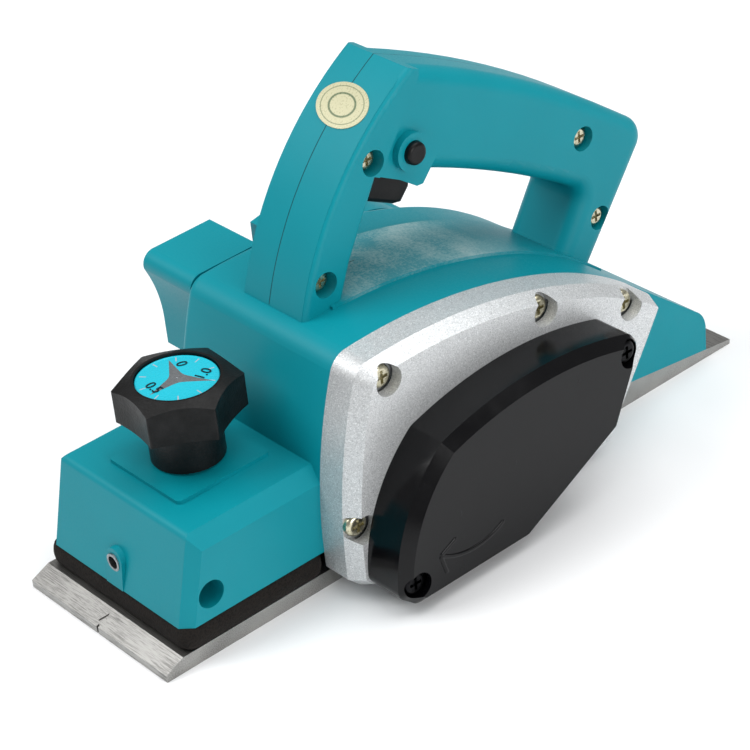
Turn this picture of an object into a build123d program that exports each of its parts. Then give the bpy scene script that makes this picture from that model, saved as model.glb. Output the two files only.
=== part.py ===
"""Hand-held electric power planer with an 82 mm cut.

X runs across the tool (+X is the belt side), Y along it (toe -Y, heel +Y), Z up.
The origin is on the sole plane, at mid length and mid width. Millimetres.
"""
import os
from math import atan2, cos, degrees, hypot, radians, sin

from build123d import *

os.makedirs("parts", exist_ok=True)

# ---------------------------------------------------------------- driving sizes
base_width = 82.0
overall_length = 290.0
half_width = base_width / 2
toe_y = -overall_length / 2
heel_y = overall_length / 2

# Clearances
running_gap = 0.05            # radial, shaft in bearing bush
sliding_gap = 0.15            # each side of a guided slide
screw_gap = 0.1               # radial, round a screw shank
loose_gap = 0.4               # round parts that must not touch
soft_gap = 0.15               # belt to pulley

# Cutter drum
cutting_radius = 25.0
drum_radius = 23.4
drum_y = -36.0
drum_z = cutting_radius
drum_shaft_radius = 6.0
drum_end_gap = 0.5
mouth_clearance = 2.5
chamber_radius = cutting_radius + 3.5
blade_thickness = 1.2
blade_height = 9.0

# Motor
motor_y, motor_z = 24.0, 46.0
motor_chamber_radius = 33.0
core_radius = 17.5
core_length = 36.0
core_far_x = -38.0
air_gap = 0.7
commutator_radius = 12.0
commutator_length = 14.0
fan_radius = 29.0
fan_width = 9.0
motor_shaft_radius = 5.0
tail_shaft_radius = 4.0

# Bearings: outer radius, width
drum_bearing_radius, drum_bearing_width = 14.0, 8.0
far_drum_bearing_radius, far_drum_bearing_width = 13.0, 8.0
motor_bearing_radius, motor_bearing_width = 13.0, 8.0
tail_bearing_radius, tail_bearing_width = 11.0, 7.0

# Belt drive
motor_pulley_radius = 9.0
drum_pulley_radius = 16.2
pulley_width = 12.0
belt_width = 10.0
belt_thickness = 1.8

# Body moulding
wall = 4.0
front_wall_y = -71.0
nose_bottom_z = 15.5
body_bottom_z = 9.5
nose_top_z = 50.5
nose_bevel_x, nose_bevel_z = 5.0, 6.0
nose_front_y = toe_y + 10.5
nose_lean = 9.0               # how far the front face leans back over its height
nose_corner = 4.2
body_rear_y = heel_y - 14.0
brow_y, brow_z = -57.0, 92.0
brow_radius = 9.0
slope_y, slope_z = 89.0, 53.6
dome_floor = 68.0
slope_end = (body_rear_y - 6.0, 24.5)
strip_half_width = 19.0
strip_front_y = -38.0
strip_height = 1.2

# Side bracket, belt cover, far side
bracket_depth = 19.0
bracket_bevel_depth, bracket_bevel_inset = 7.0, 3.0
bracket_plate = 5.0
bracket_bottom_z = 4.0
cover_depth = 20.0
cover_bevel = 4.0
cover_wall = 2.5
barrel_radius = 37.0
barrel_out = 24.0
end_cap_depth = 11.0
chute_out = 29.0
pod_radius = 17.5

# Shoes
shoe_thickness = 6.5
lip_thickness = 3.0
lip_length = 8.0
heel_thickness = 2.0
heel_taper_y = heel_y - 57.0
front_shoe_end_y = drum_y - 9.0
rear_shoe_start_y = drum_y + 9.0
sole_screw_face_z = 0.8

# Depth setting
knob_y = toe_y + 49.8
depth_range = 1.0
thread_pitch = 1.5
stem_radius = 5.0
bush_radius = stem_radius + 3.0
post_half = 12.0
post_top_z = 33.0
socket_wall = 3.4
knob_radius = 24.0
knob_turned = -4.8
knob_face_distance, knob_hollow_radius = 19.6, 65.0
knob_rim_radius = 16.4
knob_neck_radius = 13.8
knob_base_z = 53.0
knob_top_z = 85.4
dial_radius = 15.2
dial_thickness = 1.2
pad_half, pad_height = 20.8, 1.5

# Fence rod bore and its clamp thread
fence_y = nose_front_y + 13.0
fence_z = 25.5
fence_radius = 5.5
fence_thread_radius = 2.5
insert_radius = 3.5
insert_length = 6.5
boss_top_z = 31.0
boss_foot, boss_lean = 0.3, 1.8

# Handle
grip_half = 16.0
leg_half = 17.5
cavity_half = 12.0
trigger_travel = 4.0
trigger_half = 8.0
trigger_front_y, trigger_nose_y, trigger_rear_y = -7.5, -4.0, 11.5
seam_x = -2.0                 # where the handle's two halves meet
button_y, button_z = 5.9, 138.2
button_radius = 4.4
button_travel = 3.0
button_ring_radius, button_ring_height = 7.4, 1.5
inlet_y, inlet_z = 104.0, 93.0
inlet_bore_radius = 4.0
inlet_neck_radius = 6.4

# Levels across the tool
bracket_x = half_width + bracket_depth
cover_x = bracket_x + cover_depth
barrel_x = -half_width - barrel_out
cap_x = barrel_x - end_cap_depth
chute_x = -half_width - chute_out
pod_x = -half_width - 13.0
flange_x = -half_width - 5.0
pulley_x = bracket_x + 3.0
far_drum_seat = -half_width - 11.0
near_drum_seat = bracket_x - bracket_plate - 1.0 - drum_bearing_width
near_motor_seat = bracket_x - bracket_plate + 2.0 - motor_bearing_width
tail_seat = cap_x + wall
core_near_x = core_far_x + core_length
fan_x = core_near_x + 16.0
narrow_chamber_x = fan_x + fan_width + 3.0
narrow_chamber_radius = 25.0
brush_x = -54.0
brush_cap_radius = 6.0
head_seat_x = 11.0
bracket_seat_x = half_width + 12.0

handle_screw_places = [(-11.7, 140.7), (-38.5, 103.1), (92.5, 107.0), (99.4, 69.5)]
bracket_screw_places = [(-48.5, 85.5), (27.0, 78.0), (70.5, 60.0), (-66.0, 31.5), (54.0, 16.0)]
cover_screw_places = [(-60.0, 13.5), (49.5, 57.0)]
sole_screw_places = [(side * 30.0, y) for side in (-1, 1) for y in (-2.0, 70.0, 106.0)]
cap_screw_ring = 27.5
cap_screw_places = [
    (motor_y + cap_screw_ring * cos(radians(turn)), motor_z + cap_screw_ring * sin(radians(turn)))
    for turn in (90, 210, 330)
]


# ---------------------------------------------------------------- helpers
def round_x(radius, x_from, x_to, y, z, mode=Mode.ADD):
    """A round length along X in the part being built."""
    with BuildSketch(Plane.YZ.offset(x_from)) as section:
        with Locations((y, z)):
            Circle(radius)
    extrude(section.sketch, amount=x_to - x_from, mode=mode)


def round_z(radius, z_from, z_to, x, y, mode=Mode.ADD):
    """A round length along Z in the part being built."""
    with BuildSketch(Plane.XY.offset(z_from)) as section:
        with Locations((x, y)):
            Circle(radius)
    extrude(section.sketch, amount=z_to - z_from, mode=mode)


def round_y(radius, y_from, y_to, x, z, mode=Mode.ADD):
    """A round length along Y in the part being built."""
    with BuildSketch(Plane.XZ.offset(-y_from)) as section:
        with Locations((x, z)):
            Circle(radius)
    extrude(section.sketch, amount=y_from - y_to, mode=mode)


def block(x_from, x_to, y_from, y_to, z_from, z_to, mode=Mode.ADD):
    """A rectangular block between two corners in the part being built."""
    with Locations(((x_from + x_to) / 2, (y_from + y_to) / 2, (z_from + z_to) / 2)):
        Box(x_to - x_from, y_to - y_from, z_to - z_from, mode=mode)


def slab_x(points, x_from, x_to, mode=Mode.ADD):
    """A straight-sided outline in the YZ plane, carried along X."""
    with BuildSketch(Plane.YZ.offset(x_from)) as section:
        with BuildLine():
            Polyline(*points, close=True)
        make_face()
    extrude(section.sketch, amount=x_to - x_from, mode=mode)


def facing_x(x, y, z, side=1):
    """A place whose own Z axis points along +X or -X."""
    return Location(Plane(origin=(x, y, z), x_dir=(0, 1, 0), z_dir=(side, 0, 0)))


def cross_screw(head_radius, head_height, shank_radius, length):
    """A domed cross-recess screw, head up, its seat at Z = 0."""
    with BuildPart() as screw:
        Cylinder(head_radius, head_height, align=(Align.CENTER, Align.CENTER, Align.MIN))
        fillet(screw.edges().group_by(Axis.Z)[-1], head_height * 0.6)
        Cylinder(shank_radius, length, align=(Align.CENTER, Align.CENTER, Align.MAX))
        with Locations((0, 0, head_height)):
            Box(head_radius * 1.15, head_radius * 0.28, head_height, mode=Mode.SUBTRACT)
            Box(head_radius * 0.28, head_radius * 1.15, head_height, mode=Mode.SUBTRACT)
    return screw.part


def countersunk_screw(head_radius, shank_radius, length):
    """A flat-head screw, its face at Z = 0 and its point downwards."""
    with BuildPart() as screw:
        head_height = head_radius - shank_radius
        Cone(shank_radius, head_radius, head_height, align=(Align.CENTER, Align.CENTER, Align.MAX))
        Cylinder(shank_radius, length, align=(Align.CENTER, Align.CENTER, Align.MAX))
        Box(head_radius * 1.1, head_radius * 0.26, head_height * 1.2, mode=Mode.SUBTRACT)
        Box(head_radius * 0.26, head_radius * 1.1, head_height * 1.2, mode=Mode.SUBTRACT)
    return screw.part


def ball_bearing(outer_radius, bore_radius, width):
    """A shielded ball bearing along Z, its near face at Z = 0."""
    with BuildPart() as bearing:
        Cylinder(outer_radius, width, align=(Align.CENTER, Align.CENTER, Align.MIN))
        Cylinder(bore_radius, width, align=(Align.CENTER, Align.CENTER, Align.MIN), mode=Mode.SUBTRACT)
        race = (outer_radius + bore_radius) / 2
        for z in (0, width):
            with BuildSketch(Plane.XY.offset(z)) as shield:
                Circle(race + 0.25 * (outer_radius - bore_radius))
                Circle(race - 0.25 * (outer_radius - bore_radius), mode=Mode.SUBTRACT)
            extrude(shield.sketch, amount=0.5, both=True, mode=Mode.SUBTRACT)
    return bearing.part


def coil_spring(coil_radius, wire, length, turns):
    """A round-wire spring along Z, its low end at Z = 0."""
    rise = length - wire
    with BuildPart() as spring:
        with BuildLine() as coil_line:
            Helix(pitch=rise / turns, height=rise, radius=coil_radius, center=(0, 0, wire / 2))
        with BuildSketch(Plane(origin=coil_line.line @ 0, z_dir=coil_line.line % 0)):
            Circle(wire / 2)
        sweep(path=coil_line.line, is_frenet=True)
    return spring.part


def save(part, name):
    """Label a finished piece and write its STEP file."""
    part.label = name
    export_step(part, f"parts/{name}.step")


# ---------------------------------------------------------------- shared outlines
def front_and_top():
    """Front wall and domed top of the body, as lines in the YZ plane."""
    ThreePointArc((front_wall_y, nose_bottom_z), (front_wall_y + 2.4, 49.0), (brow_y, brow_z))
    dome_line(0.0)


def dome_line(lift):
    """The dome from the brow to the start of the straight rear slope."""
    crown = ThreePointArc((brow_y, brow_z + lift), (-4.5, 91.2 + lift), (48.0, 77.5 + lift))
    TangentArc(crown @ 1, (slope_y, slope_z + lift), tangent=crown % 1)
    return crown


def slope_height(y):
    """Height of the straight rear slope above a place along the tool."""
    return slope_z + (y - slope_y) * (slope_end[1] - slope_z) / (slope_end[0] - slope_y)


def shoe_top(y):
    """Height of the rear shoe's top, which tapers towards the heel."""
    if y <= heel_taper_y:
        return body_bottom_z
    return heel_thickness + (heel_y - y) * (body_bottom_z - heel_thickness) / (heel_y - heel_taper_y)


def cover_lines():
    """Outline of the belt cover: bowed front and top, straight rear and bottom."""
    front = ThreePointArc((-67.0, 10.0), (-61.5, 37.0), (-41.0, 63.3))
    top = ThreePointArc(front @ 1, (6.0, 70.8), (53.0, 63.0))
    Polyline(top @ 1, (56.8, 57.0), (43.0, 27.5), (-6.0, 3.0), (-59.0, 3.0), front @ 0)


with BuildSketch(Plane.YZ) as body_outline:
    with BuildLine():
        front_and_top()
        Line((slope_y, slope_z), slope_end)
        RadiusArc(slope_end, (body_rear_y, 13.0), 12.0)
        Polyline(
            (body_rear_y, 13.0), (body_rear_y, shoe_top(body_rear_y)), (heel_taper_y, body_bottom_z),
            (-60.0, body_bottom_z), (-60.0, nose_bottom_z), (front_wall_y, nose_bottom_z),
        )
    make_face()
    fillet(body_outline.vertices().group_by(Axis.Y)[-1], brow_radius)

# A low raised strip runs along the dome between the handle's legs.
with BuildSketch(Plane.YZ) as strip_outline:
    with BuildLine():
        ridge = dome_line(strip_height)
        Polyline(
            (slope_y, slope_z + strip_height), (96.0, slope_height(96.0) + strip_height),
            (94.0, slope_height(94.0) - 4.0), (0.0, 75.0), (brow_y, 82.0), ridge @ 0,
        )
    make_face()
    with Locations((strip_front_y, brow_z)):
        Rectangle(40.0, 40.0, align=(Align.MAX, Align.CENTER), mode=Mode.SUBTRACT)

# The bracket follows the body down to its own blunt tail.
with BuildSketch(Plane.YZ) as bracket_outline:
    with BuildLine():
        front_and_top()
        Polyline(
            (slope_y, slope_z), (80.5, 40.0), (57.0, bracket_bottom_z),
            (front_wall_y + 5.0, bracket_bottom_z), (front_wall_y, bracket_bottom_z + 5.0),
            (front_wall_y, nose_bottom_z),
        )
    make_face()
    fillet(bracket_outline.vertices().sort_by(Axis.X)[-1], 4.0)
    fillet(bracket_outline.vertices().sort_by(Axis.Y)[-1], brow_radius)

with BuildSketch(Plane.YZ) as cover_outline:
    with BuildLine():
        cover_lines()
    make_face()
    fillet(cover_outline.vertices().filter_by(lambda v: v.Y < 30 or v.X > 50), 5.5)

# Handle: two legs and the sloping grip, with the hand hole in the middle.
hand_hole_front = [
    (-35.5, 84.0), (-26.0, 107.0), (-10.5, 134.5), (0.9, 128.2), (8.5, 122.5), (11.5, 122.3), (14.5, 125.6),
]
with BuildSketch(Plane.YZ) as handle_outline:
    with BuildLine():
        leg_front = ThreePointArc((-52.5, 84.0), (-31.0, 133.0), (9.0, 169.5))
        back = ThreePointArc(leg_front @ 1, (62.0, 143.6), (112.0, 110.5))
        Polyline(back @ 1, (129.5, 97.4), (90.0, 43.7), (60.0, 55.0), (0.0, 60.0), (-52.5, 84.0))
    make_face()
    fillet(handle_outline.vertices().sort_by(Axis.X)[-1], 9.0)
    with BuildLine():
        Polyline(hand_hole_front)
        grip_under = ThreePointArc(hand_hole_front[-1], (51.0, 108.7), (92.0, 84.2))
        Polyline(grip_under @ 1, (72.0, 52.0), (0.0, 65.0), hand_hole_front[0])
    make_face(mode=Mode.SUBTRACT)
    fillet(handle_outline.vertices().filter_by(lambda v: 80 < v.Y < 90 and 30 < v.X < 93), 5.0)

# The front leg is a little wider than the grip, back to a slanting step.
leg_side = [
    (-60.0, 80.0), (-60.0, 180.0), (8.0, 180.0), (11.2, 170.5), (13.0, 168.0), (12.6, 165.0),
    (-10.0, 133.0), (-8.0, 120.0), (-25.0, 80.0),
]

# Room inside the handle for the switch and the leads.
handle_room = [
    (-46.0, 88.0), (-27.0, 129.0), (6.0, 158.0), (30.0, 147.0), (66.0, 130.0), (108.0, 101.0), (112.0, 92.0),
    (88.0, 58.0), (84.0, 62.0), (100.0, 86.0), (66.0, 108.0), (31.0, 124.5), (20.0, 129.5), (2.0, 129.5),
    (-4.5, 135.0), (-12.5, 139.5), (-16.5, 136.0), (-30.0, 108.0), (-38.5, 88.0),
]


# Way through the chip chute and the side wall behind it.
chute_room = [(-27.0, 87.0), (-50.0, 87.0), (-47.5, 70.0), (-47.5, 53.0), (-27.0, 53.0)]


# ---------------------------------------------------------------- handle, both halves
with BuildPart() as leg_block:
    extrude(handle_outline.sketch, amount=leg_half, both=True)
    slab_x(leg_side, -leg_half, leg_half, mode=Mode.INTERSECT)
    long_edges = leg_block.edges().filter_by(lambda e: abs(e.center().X) > leg_half - 0.1)
    fillet(long_edges.filter_by(lambda e: e.center().Z > 90 and e.center().Y < 0 and e.length > 23), 2.5)

with BuildPart() as handle_body:
    extrude(handle_outline.sketch, amount=grip_half, both=True)
    long_edges = handle_body.edges().filter_by(lambda e: abs(e.center().X) > grip_half - 0.1)
    fillet(long_edges.filter_by(lambda e: e.center().Y > 20 and e.center().Z > 62), 6.5)
    add(leg_block.part)
    slab_x(handle_room, -cavity_half, cavity_half, mode=Mode.SUBTRACT)
    # Solid pillars for the screws, and the slot that the trigger works in
    for y, z in handle_screw_places:
        round_x(6.0, -cavity_half - 1, cavity_half + 1, y, z)
    slot_half = trigger_half + sliding_gap
    slot_front_y, slot_rear_y = trigger_front_y - sliding_gap, trigger_rear_y + sliding_gap
    block(-slot_half, slot_half, slot_front_y, slot_rear_y, 118.0, 136.0, mode=Mode.SUBTRACT)
    block(-slot_half, slot_half, slot_front_y, trigger_nose_y + sliding_gap, 130.0, 140.5, mode=Mode.SUBTRACT)

with BuildPart() as body_block:
    extrude(body_outline.sketch, amount=half_width, both=True)
    far_rim = body_block.edges().filter_by(lambda e: e.center().X < 0.1 - half_width)
    fillet(far_rim.filter_by(lambda e: e.center().Z > 18 and e.center().Y > front_wall_y + 1), 3.5)
    extrude(strip_outline.sketch, amount=strip_half_width, both=True)

# Boss for the fence's clamp screw: it leans back with the nose's face.
with BuildPart() as clamp_boss:
    with BuildSketch(Plane.XZ.offset(-fence_y)) as boss_shape:
        with Locations((0, boss_top_z - 10.0)):
            SlotOverall(20.0, 9.6, rotation=90)
        with Locations((0, nose_bottom_z - 10.0)):
            Rectangle(20.0, 20.0, mode=Mode.SUBTRACT)
    extrude(boss_shape.sketch, amount=fence_y - nose_front_y + 3.0)
    boss_side = [
        (nose_front_y - boss_foot, nose_bottom_z), (nose_front_y - boss_foot + boss_lean, boss_top_z),
        (fence_y, boss_top_z), (fence_y, nose_bottom_z),
    ]
    slab_x(boss_side, -10.0, 10.0, mode=Mode.INTERSECT)

# ---------------------------------------------------------------- main housing
with BuildPart() as main_housing:
    # Nose: bevelled along the top, with a face that leans back
    with BuildSketch(Plane.XZ.offset(-front_wall_y - wall)):
        with BuildLine():
            Polyline(
                (-half_width, nose_bottom_z), (half_width, nose_bottom_z),
                (half_width, nose_top_z - nose_bevel_z), (half_width - nose_bevel_x, nose_top_z),
                (nose_bevel_x - half_width, nose_top_z), (-half_width, nose_top_z - nose_bevel_z), close=True,
            )
        make_face()
    extrude(amount=front_wall_y + wall - nose_front_y)
    lean_cut = [
        (nose_front_y - 1, nose_bottom_z), (nose_front_y, nose_bottom_z),
        (nose_front_y + nose_lean, nose_top_z), (nose_front_y + nose_lean, nose_top_z + 1),
        (nose_front_y - 1, nose_top_z + 1),
    ]
    slab_x(lean_cut, -half_width - 1, half_width + 1, mode=Mode.SUBTRACT)
    front_face = main_housing.faces().sort_by(Axis.Y)[0]
    chamfer(front_face.edges().filter_by(lambda e: abs(e.center().X) > half_width - 0.1), nose_corner)
    front_face = main_housing.faces().sort_by(Axis.Y)[0]
    fillet(front_face.edges().filter_by(lambda e: e.center().Z > nose_top_z - 0.1), 3.0)
    with BuildSketch(Plane.XY.offset(nose_top_z)) as knob_pad:
        with Locations((0, knob_y)):
            RectangleRounded(2 * pad_half, 2 * pad_half, 2.0)
    extrude(knob_pad.sketch, amount=pad_height)
    add(body_block.part)
    # Far side: motor barrel, squared up to the dome, and the drum's bearing pod
    round_x(barrel_radius, barrel_x, -half_width, motor_y, motor_z)
    barrel_top = [(-11.0, 46.0), (-11.0, 88.0), (-6.0, 89.0), (24.0, 83.5), (48.0, 75.5), (54.0, 66.0), (54.0, 46.0)]
    slab_x(barrel_top, barrel_x + 3.0, -half_width)
    round_x(chamber_radius + wall, flange_x, -half_width, drum_y, drum_z)
    round_x(pod_radius, pod_x, flange_x, drum_y, drum_z)
    block(flange_x, -half_width, drum_y - 40, drum_y + 40, -10.0, bracket_bottom_z, mode=Mode.SUBTRACT)
    # Far half of the handle, from the seam outwards
    add(split(handle_body.part, bisect_by=Plane.YZ.offset(seam_x), keep=Keep.BOTTOM, mode=Mode.PRIVATE))

    # Hollows: nose, drum chamber and chip way, motor, tail
    block(wall - half_width, half_width - wall, nose_front_y + 10.5, front_wall_y - 3.0, nose_bottom_z,
          nose_top_z - wall, mode=Mode.SUBTRACT)
    round_x(chamber_radius, -half_width - 0.5, half_width, drum_y, drum_z, mode=Mode.SUBTRACT)
    chip_way = [(-64.0, 20.0), (-61.5, 58.0), (-53.0, 82.5), (-26.5, 82.5), (-18.0, 46.0), (-36.0, 20.0)]
    slab_x(chip_way, wall - half_width, half_width - wall, mode=Mode.SUBTRACT)
    slab_x(chute_room, flange_x, wall - half_width, mode=Mode.SUBTRACT)
    round_x(motor_chamber_radius, barrel_x, narrow_chamber_x, motor_y, motor_z, mode=Mode.SUBTRACT)
    round_x(narrow_chamber_radius, narrow_chamber_x, half_width, motor_y, motor_z, mode=Mode.SUBTRACT)
    tail_end_y = body_rear_y - 11.0
    tail_room = [(64.0, 0.0), (64.0, 53.0), (76.0, 50.0), (tail_end_y, slope_height(tail_end_y) - 7.0), (tail_end_y, 0.0)]
    slab_x(tail_room, wall - half_width, half_width - wall, mode=Mode.SUBTRACT)

    # Guide socket for the shoe's post, hung from the nose's roof
    post_room = post_half + sliding_gap
    socket_out = post_room + socket_wall
    socket_z = nose_bottom_z + 3.0
    roof_z = nose_top_z - wall
    block(-socket_out, socket_out, knob_y - socket_out, knob_y + socket_out, socket_z, roof_z)
    block(-post_room, post_room, knob_y - post_room, knob_y + post_room, socket_z, roof_z, mode=Mode.SUBTRACT)
    # Fence bore and its clamp boss
    round_x(fence_radius + 3.5, wall - half_width, half_width - wall, fence_y, fence_z)
    add(clamp_boss.part)
    round_x(fence_radius, -half_width, half_width, fence_y, fence_z, mode=Mode.SUBTRACT)
    round_y(insert_radius, nose_front_y - 3.0, fence_y, 0, fence_z, mode=Mode.SUBTRACT)
    # Stem bush seat through the nose's roof, and the drum's far bearing seat
    round_z(bush_radius, roof_z - 1, nose_top_z + pad_height, 0, knob_y, mode=Mode.SUBTRACT)
    round_x(far_drum_bearing_radius, far_drum_seat, -half_width, drum_y, drum_z, mode=Mode.SUBTRACT)
    # Brush cap holes, end cap bosses and the lead's hole in the handle
    for side in (-1, 1):
        round_y(brush_cap_radius, motor_y, motor_y + side * 42.0, brush_x, motor_z, mode=Mode.SUBTRACT)
    for y, z in cap_screw_places:
        round_x(6.2, barrel_x, barrel_x + 14.0, y, z)
        round_x(1.9 + screw_gap, barrel_x, barrel_x + 12.0, y, z, mode=Mode.SUBTRACT)
    round_x(inlet_neck_radius, -grip_half - 1, -cavity_half, inlet_y, inlet_z, mode=Mode.SUBTRACT)

    # Posts for the sole screws, and every screw hole
    for x, y in sole_screw_places[1::3] + sole_screw_places[2::3]:
        round_z(5.0, shoe_top(y - 5.0), min(slope_height(y), dome_floor) - 7.0, x, y)
    for x, y in sole_screw_places:
        round_z(2.0 + screw_gap, 0, 20.0, x, y, mode=Mode.SUBTRACT)
    for y, z in bracket_screw_places:
        round_x(2.0 + screw_gap, half_width - 12.0, half_width, y, z, mode=Mode.SUBTRACT)
    for y, z in handle_screw_places:
        round_x(1.9 + screw_gap, -12.5, seam_x, y, z, mode=Mode.SUBTRACT)
save(main_housing.part, "main_housing")

# ---------------------------------------------------------------- handle cover and its screws
with BuildPart() as handle_cover:
    add(split(handle_body.part, bisect_by=Plane.YZ.offset(seam_x), keep=Keep.TOP, mode=Mode.PRIVATE))
    add(body_block.part, mode=Mode.SUBTRACT)
    # Raised ring round the lock button, and its bore
    round_x(button_ring_radius, grip_half - 2.0, leg_half + button_ring_height, button_y, button_z)
    round_x(button_radius + sliding_gap, cavity_half - 2, leg_half + 3.0, button_y, button_z, mode=Mode.SUBTRACT)
    for y, z in handle_screw_places:
        round_x(5.0, head_seat_x, leg_half + 2.0, y, z, mode=Mode.SUBTRACT)
        round_x(1.9 + screw_gap, seam_x, head_seat_x, y, z, mode=Mode.SUBTRACT)
save(handle_cover.part, "handle_cover")

handle_screw = cross_screw(4.2, 2.8, 1.9, 23.0)
with BuildPart() as handle_screws:
    with Locations(*[facing_x(head_seat_x, y, z) for y, z in handle_screw_places]):
        add(handle_screw)
save(handle_screws.part, "handle_screws")


# ---------------------------------------------------------------- side bracket
def round_inside(outline, radius, x_from, x_to, places):
    """Round pillars along X, trimmed to stay inside an outline."""
    for place in places:
        with BuildSketch(Plane.YZ.offset(x_from)) as pillar:
            with Locations(place):
                Circle(radius)
            add(outline.sketch_local, mode=Mode.INTERSECT)
        extrude(pillar.sketch, amount=x_to - x_from)


with BuildPart() as side_bracket:
    with BuildSketch(Plane.YZ.offset(half_width)):
        add(bracket_outline.sketch_local)
    extrude(amount=bracket_depth)
    chamfer(side_bracket.faces().sort_by(Axis.X)[-1].edges(), bracket_bevel_depth, bracket_bevel_inset)
    # Open back, with a plate at the face
    with BuildSketch(Plane.YZ.offset(half_width)) as bracket_room:
        add(bracket_outline.sketch_local)
        offset(amount=-wall, kind=Kind.INTERSECTION)
    extrude(bracket_room.sketch, amount=bracket_depth - bracket_plate, mode=Mode.SUBTRACT)
    # Bearing bosses and screw pillars inside
    round_x(drum_bearing_radius + wall, near_drum_seat, bracket_x - 1.0, drum_y, drum_z)
    round_x(motor_bearing_radius + wall, near_motor_seat, bracket_x - 1.0, motor_y, motor_z)
    round_inside(bracket_outline, 7.8, half_width, bracket_seat_x, bracket_screw_places)
    round_inside(bracket_outline, 6.0, bracket_x - bracket_plate - 4.0, bracket_x - bracket_plate, cover_screw_places)
    round_x(drum_bearing_radius, near_drum_seat - 1, near_drum_seat + drum_bearing_width, drum_y, drum_z,
            mode=Mode.SUBTRACT)
    round_x(motor_bearing_radius, near_motor_seat - 1, near_motor_seat + motor_bearing_width, motor_y, motor_z,
            mode=Mode.SUBTRACT)
    round_x(drum_shaft_radius + 2.5, half_width, bracket_x + 1, drum_y, drum_z, mode=Mode.SUBTRACT)
    round_x(motor_shaft_radius + 1.5, half_width, bracket_x + 1, motor_y, motor_z, mode=Mode.SUBTRACT)
    # Scalloped wells for the screw heads, open at the rim
    for y, z in bracket_screw_places:
        round_x(5.8, bracket_seat_x, bracket_x + 1, y, z, mode=Mode.SUBTRACT)
        round_x(2.0 + screw_gap, half_width, bracket_seat_x, y, z, mode=Mode.SUBTRACT)
    for y, z in cover_screw_places:
        round_x(2.0 + screw_gap, bracket_x - bracket_plate - 4.0, bracket_x, y, z, mode=Mode.SUBTRACT)
save(side_bracket.part, "side_bracket")

bracket_screw = cross_screw(4.6, 3.0, 2.0, bracket_seat_x - half_width + 11.0)
with BuildPart() as bracket_screws:
    with Locations(*[facing_x(bracket_seat_x, y, z) for y, z in bracket_screw_places]):
        add(bracket_screw)
save(bracket_screws.part, "bracket_screws")

# ---------------------------------------------------------------- belt cover
cover_seat_x = cover_x - 5.0
with BuildPart() as belt_cover:
    with BuildSketch(Plane.YZ.offset(bracket_x)):
        add(cover_outline.sketch_local)
    extrude(amount=cover_depth)
    chamfer(belt_cover.faces().sort_by(Axis.X)[-1].edges(), cover_bevel)
    # A stepped room, deeper in the middle where the shaft ends and the nut are
    for inset, depth in ((cover_wall, cover_depth - cover_bevel), (cover_wall + cover_bevel, cover_depth - cover_wall)):
        with BuildSketch(Plane.YZ.offset(bracket_x)) as cover_room:
            add(cover_outline.sketch_local)
            offset(amount=-inset, kind=Kind.INTERSECTION)
        extrude(cover_room.sketch, amount=depth, mode=Mode.SUBTRACT)
    round_inside(cover_outline, 7.6, bracket_x, cover_x - cover_bevel, cover_screw_places)
    for y, z in cover_screw_places:
        round_x(5.4, cover_seat_x, cover_x + 1, y, z, mode=Mode.SUBTRACT)
        round_x(2.0 + screw_gap, bracket_x, cover_x, y, z, mode=Mode.SUBTRACT)
save(belt_cover.part, "belt_cover")

cover_screw = cross_screw(4.6, 2.6, 2.0, cover_seat_x - bracket_x + 8.0)
with BuildPart() as belt_cover_screws:
    with Locations(*[facing_x(cover_seat_x, y, z) for y, z in cover_screw_places]):
        add(cover_screw)
save(belt_cover_screws.part, "belt_cover_screws")

# ---------------------------------------------------------------- far side: chute and motor cap
with BuildPart() as chip_chute:
    with BuildSketch(Plane.YZ.offset(chute_x)) as chute_section:
        with BuildLine():
            Line((-24.0, 92.0), (-51.0, 91.6))
            ThreePointArc((-51.0, 91.6), (-55.6, 89.6), (-56.6, 84.6))
            ThreePointArc((-56.6, 84.6), (-52.6, 73.0), (-51.2, 60.0))
            Polyline(
                (-51.2, 60.0), (-51.2, 49.5), (-47.5, 45.8), (-26.0, 46.5), (-22.0, 51.0), (-20.5, 86.0), (-24.0, 92.0),
            )
        make_face()
    extrude(chute_section.sketch, amount=chute_out)
    slab_x(chute_room, chute_x, -half_width, mode=Mode.SUBTRACT)
    round_x(chamber_radius + wall, flange_x, -half_width, drum_y, drum_z, mode=Mode.SUBTRACT)
save(chip_chute.part, "chip_chute")

with BuildPart() as motor_end_cap:
    round_x(barrel_radius, cap_x, barrel_x, motor_y, motor_z)
    fillet(motor_end_cap.faces().sort_by(Axis.X)[0].edges(), 5.0)
    round_x(motor_chamber_radius, tail_seat, barrel_x, motor_y, motor_z, mode=Mode.SUBTRACT)
    round_x(tail_bearing_radius + 3.0, cap_x + 1.0, barrel_x, motor_y, motor_z)
    round_x(tail_bearing_radius, tail_seat, barrel_x, motor_y, motor_z, mode=Mode.SUBTRACT)
    # Cooling slots round the face, clear of the screws
    for turn in range(0, 360, 30):
        if turn % 120 != 90:
            slot_y = motor_y + 23.5 * cos(radians(turn))
            slot_z = motor_z + 23.5 * sin(radians(turn))
            with BuildSketch(Plane.YZ.offset(cap_x - 1)) as vent:
                with Locations((slot_y, slot_z)):
                    SlotOverall(13.0, 3.4, rotation=turn)
            extrude(vent.sketch, amount=wall + 2, mode=Mode.SUBTRACT)
    for y, z in cap_screw_places:
        round_x(5.4, cap_x + 1.0, barrel_x, y, z)
        round_x(4.8, cap_x - 1, cap_x + 2.5, y, z, mode=Mode.SUBTRACT)
        round_x(1.9 + screw_gap, cap_x, barrel_x, y, z, mode=Mode.SUBTRACT)
save(motor_end_cap.part, "motor_end_cap")

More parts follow.
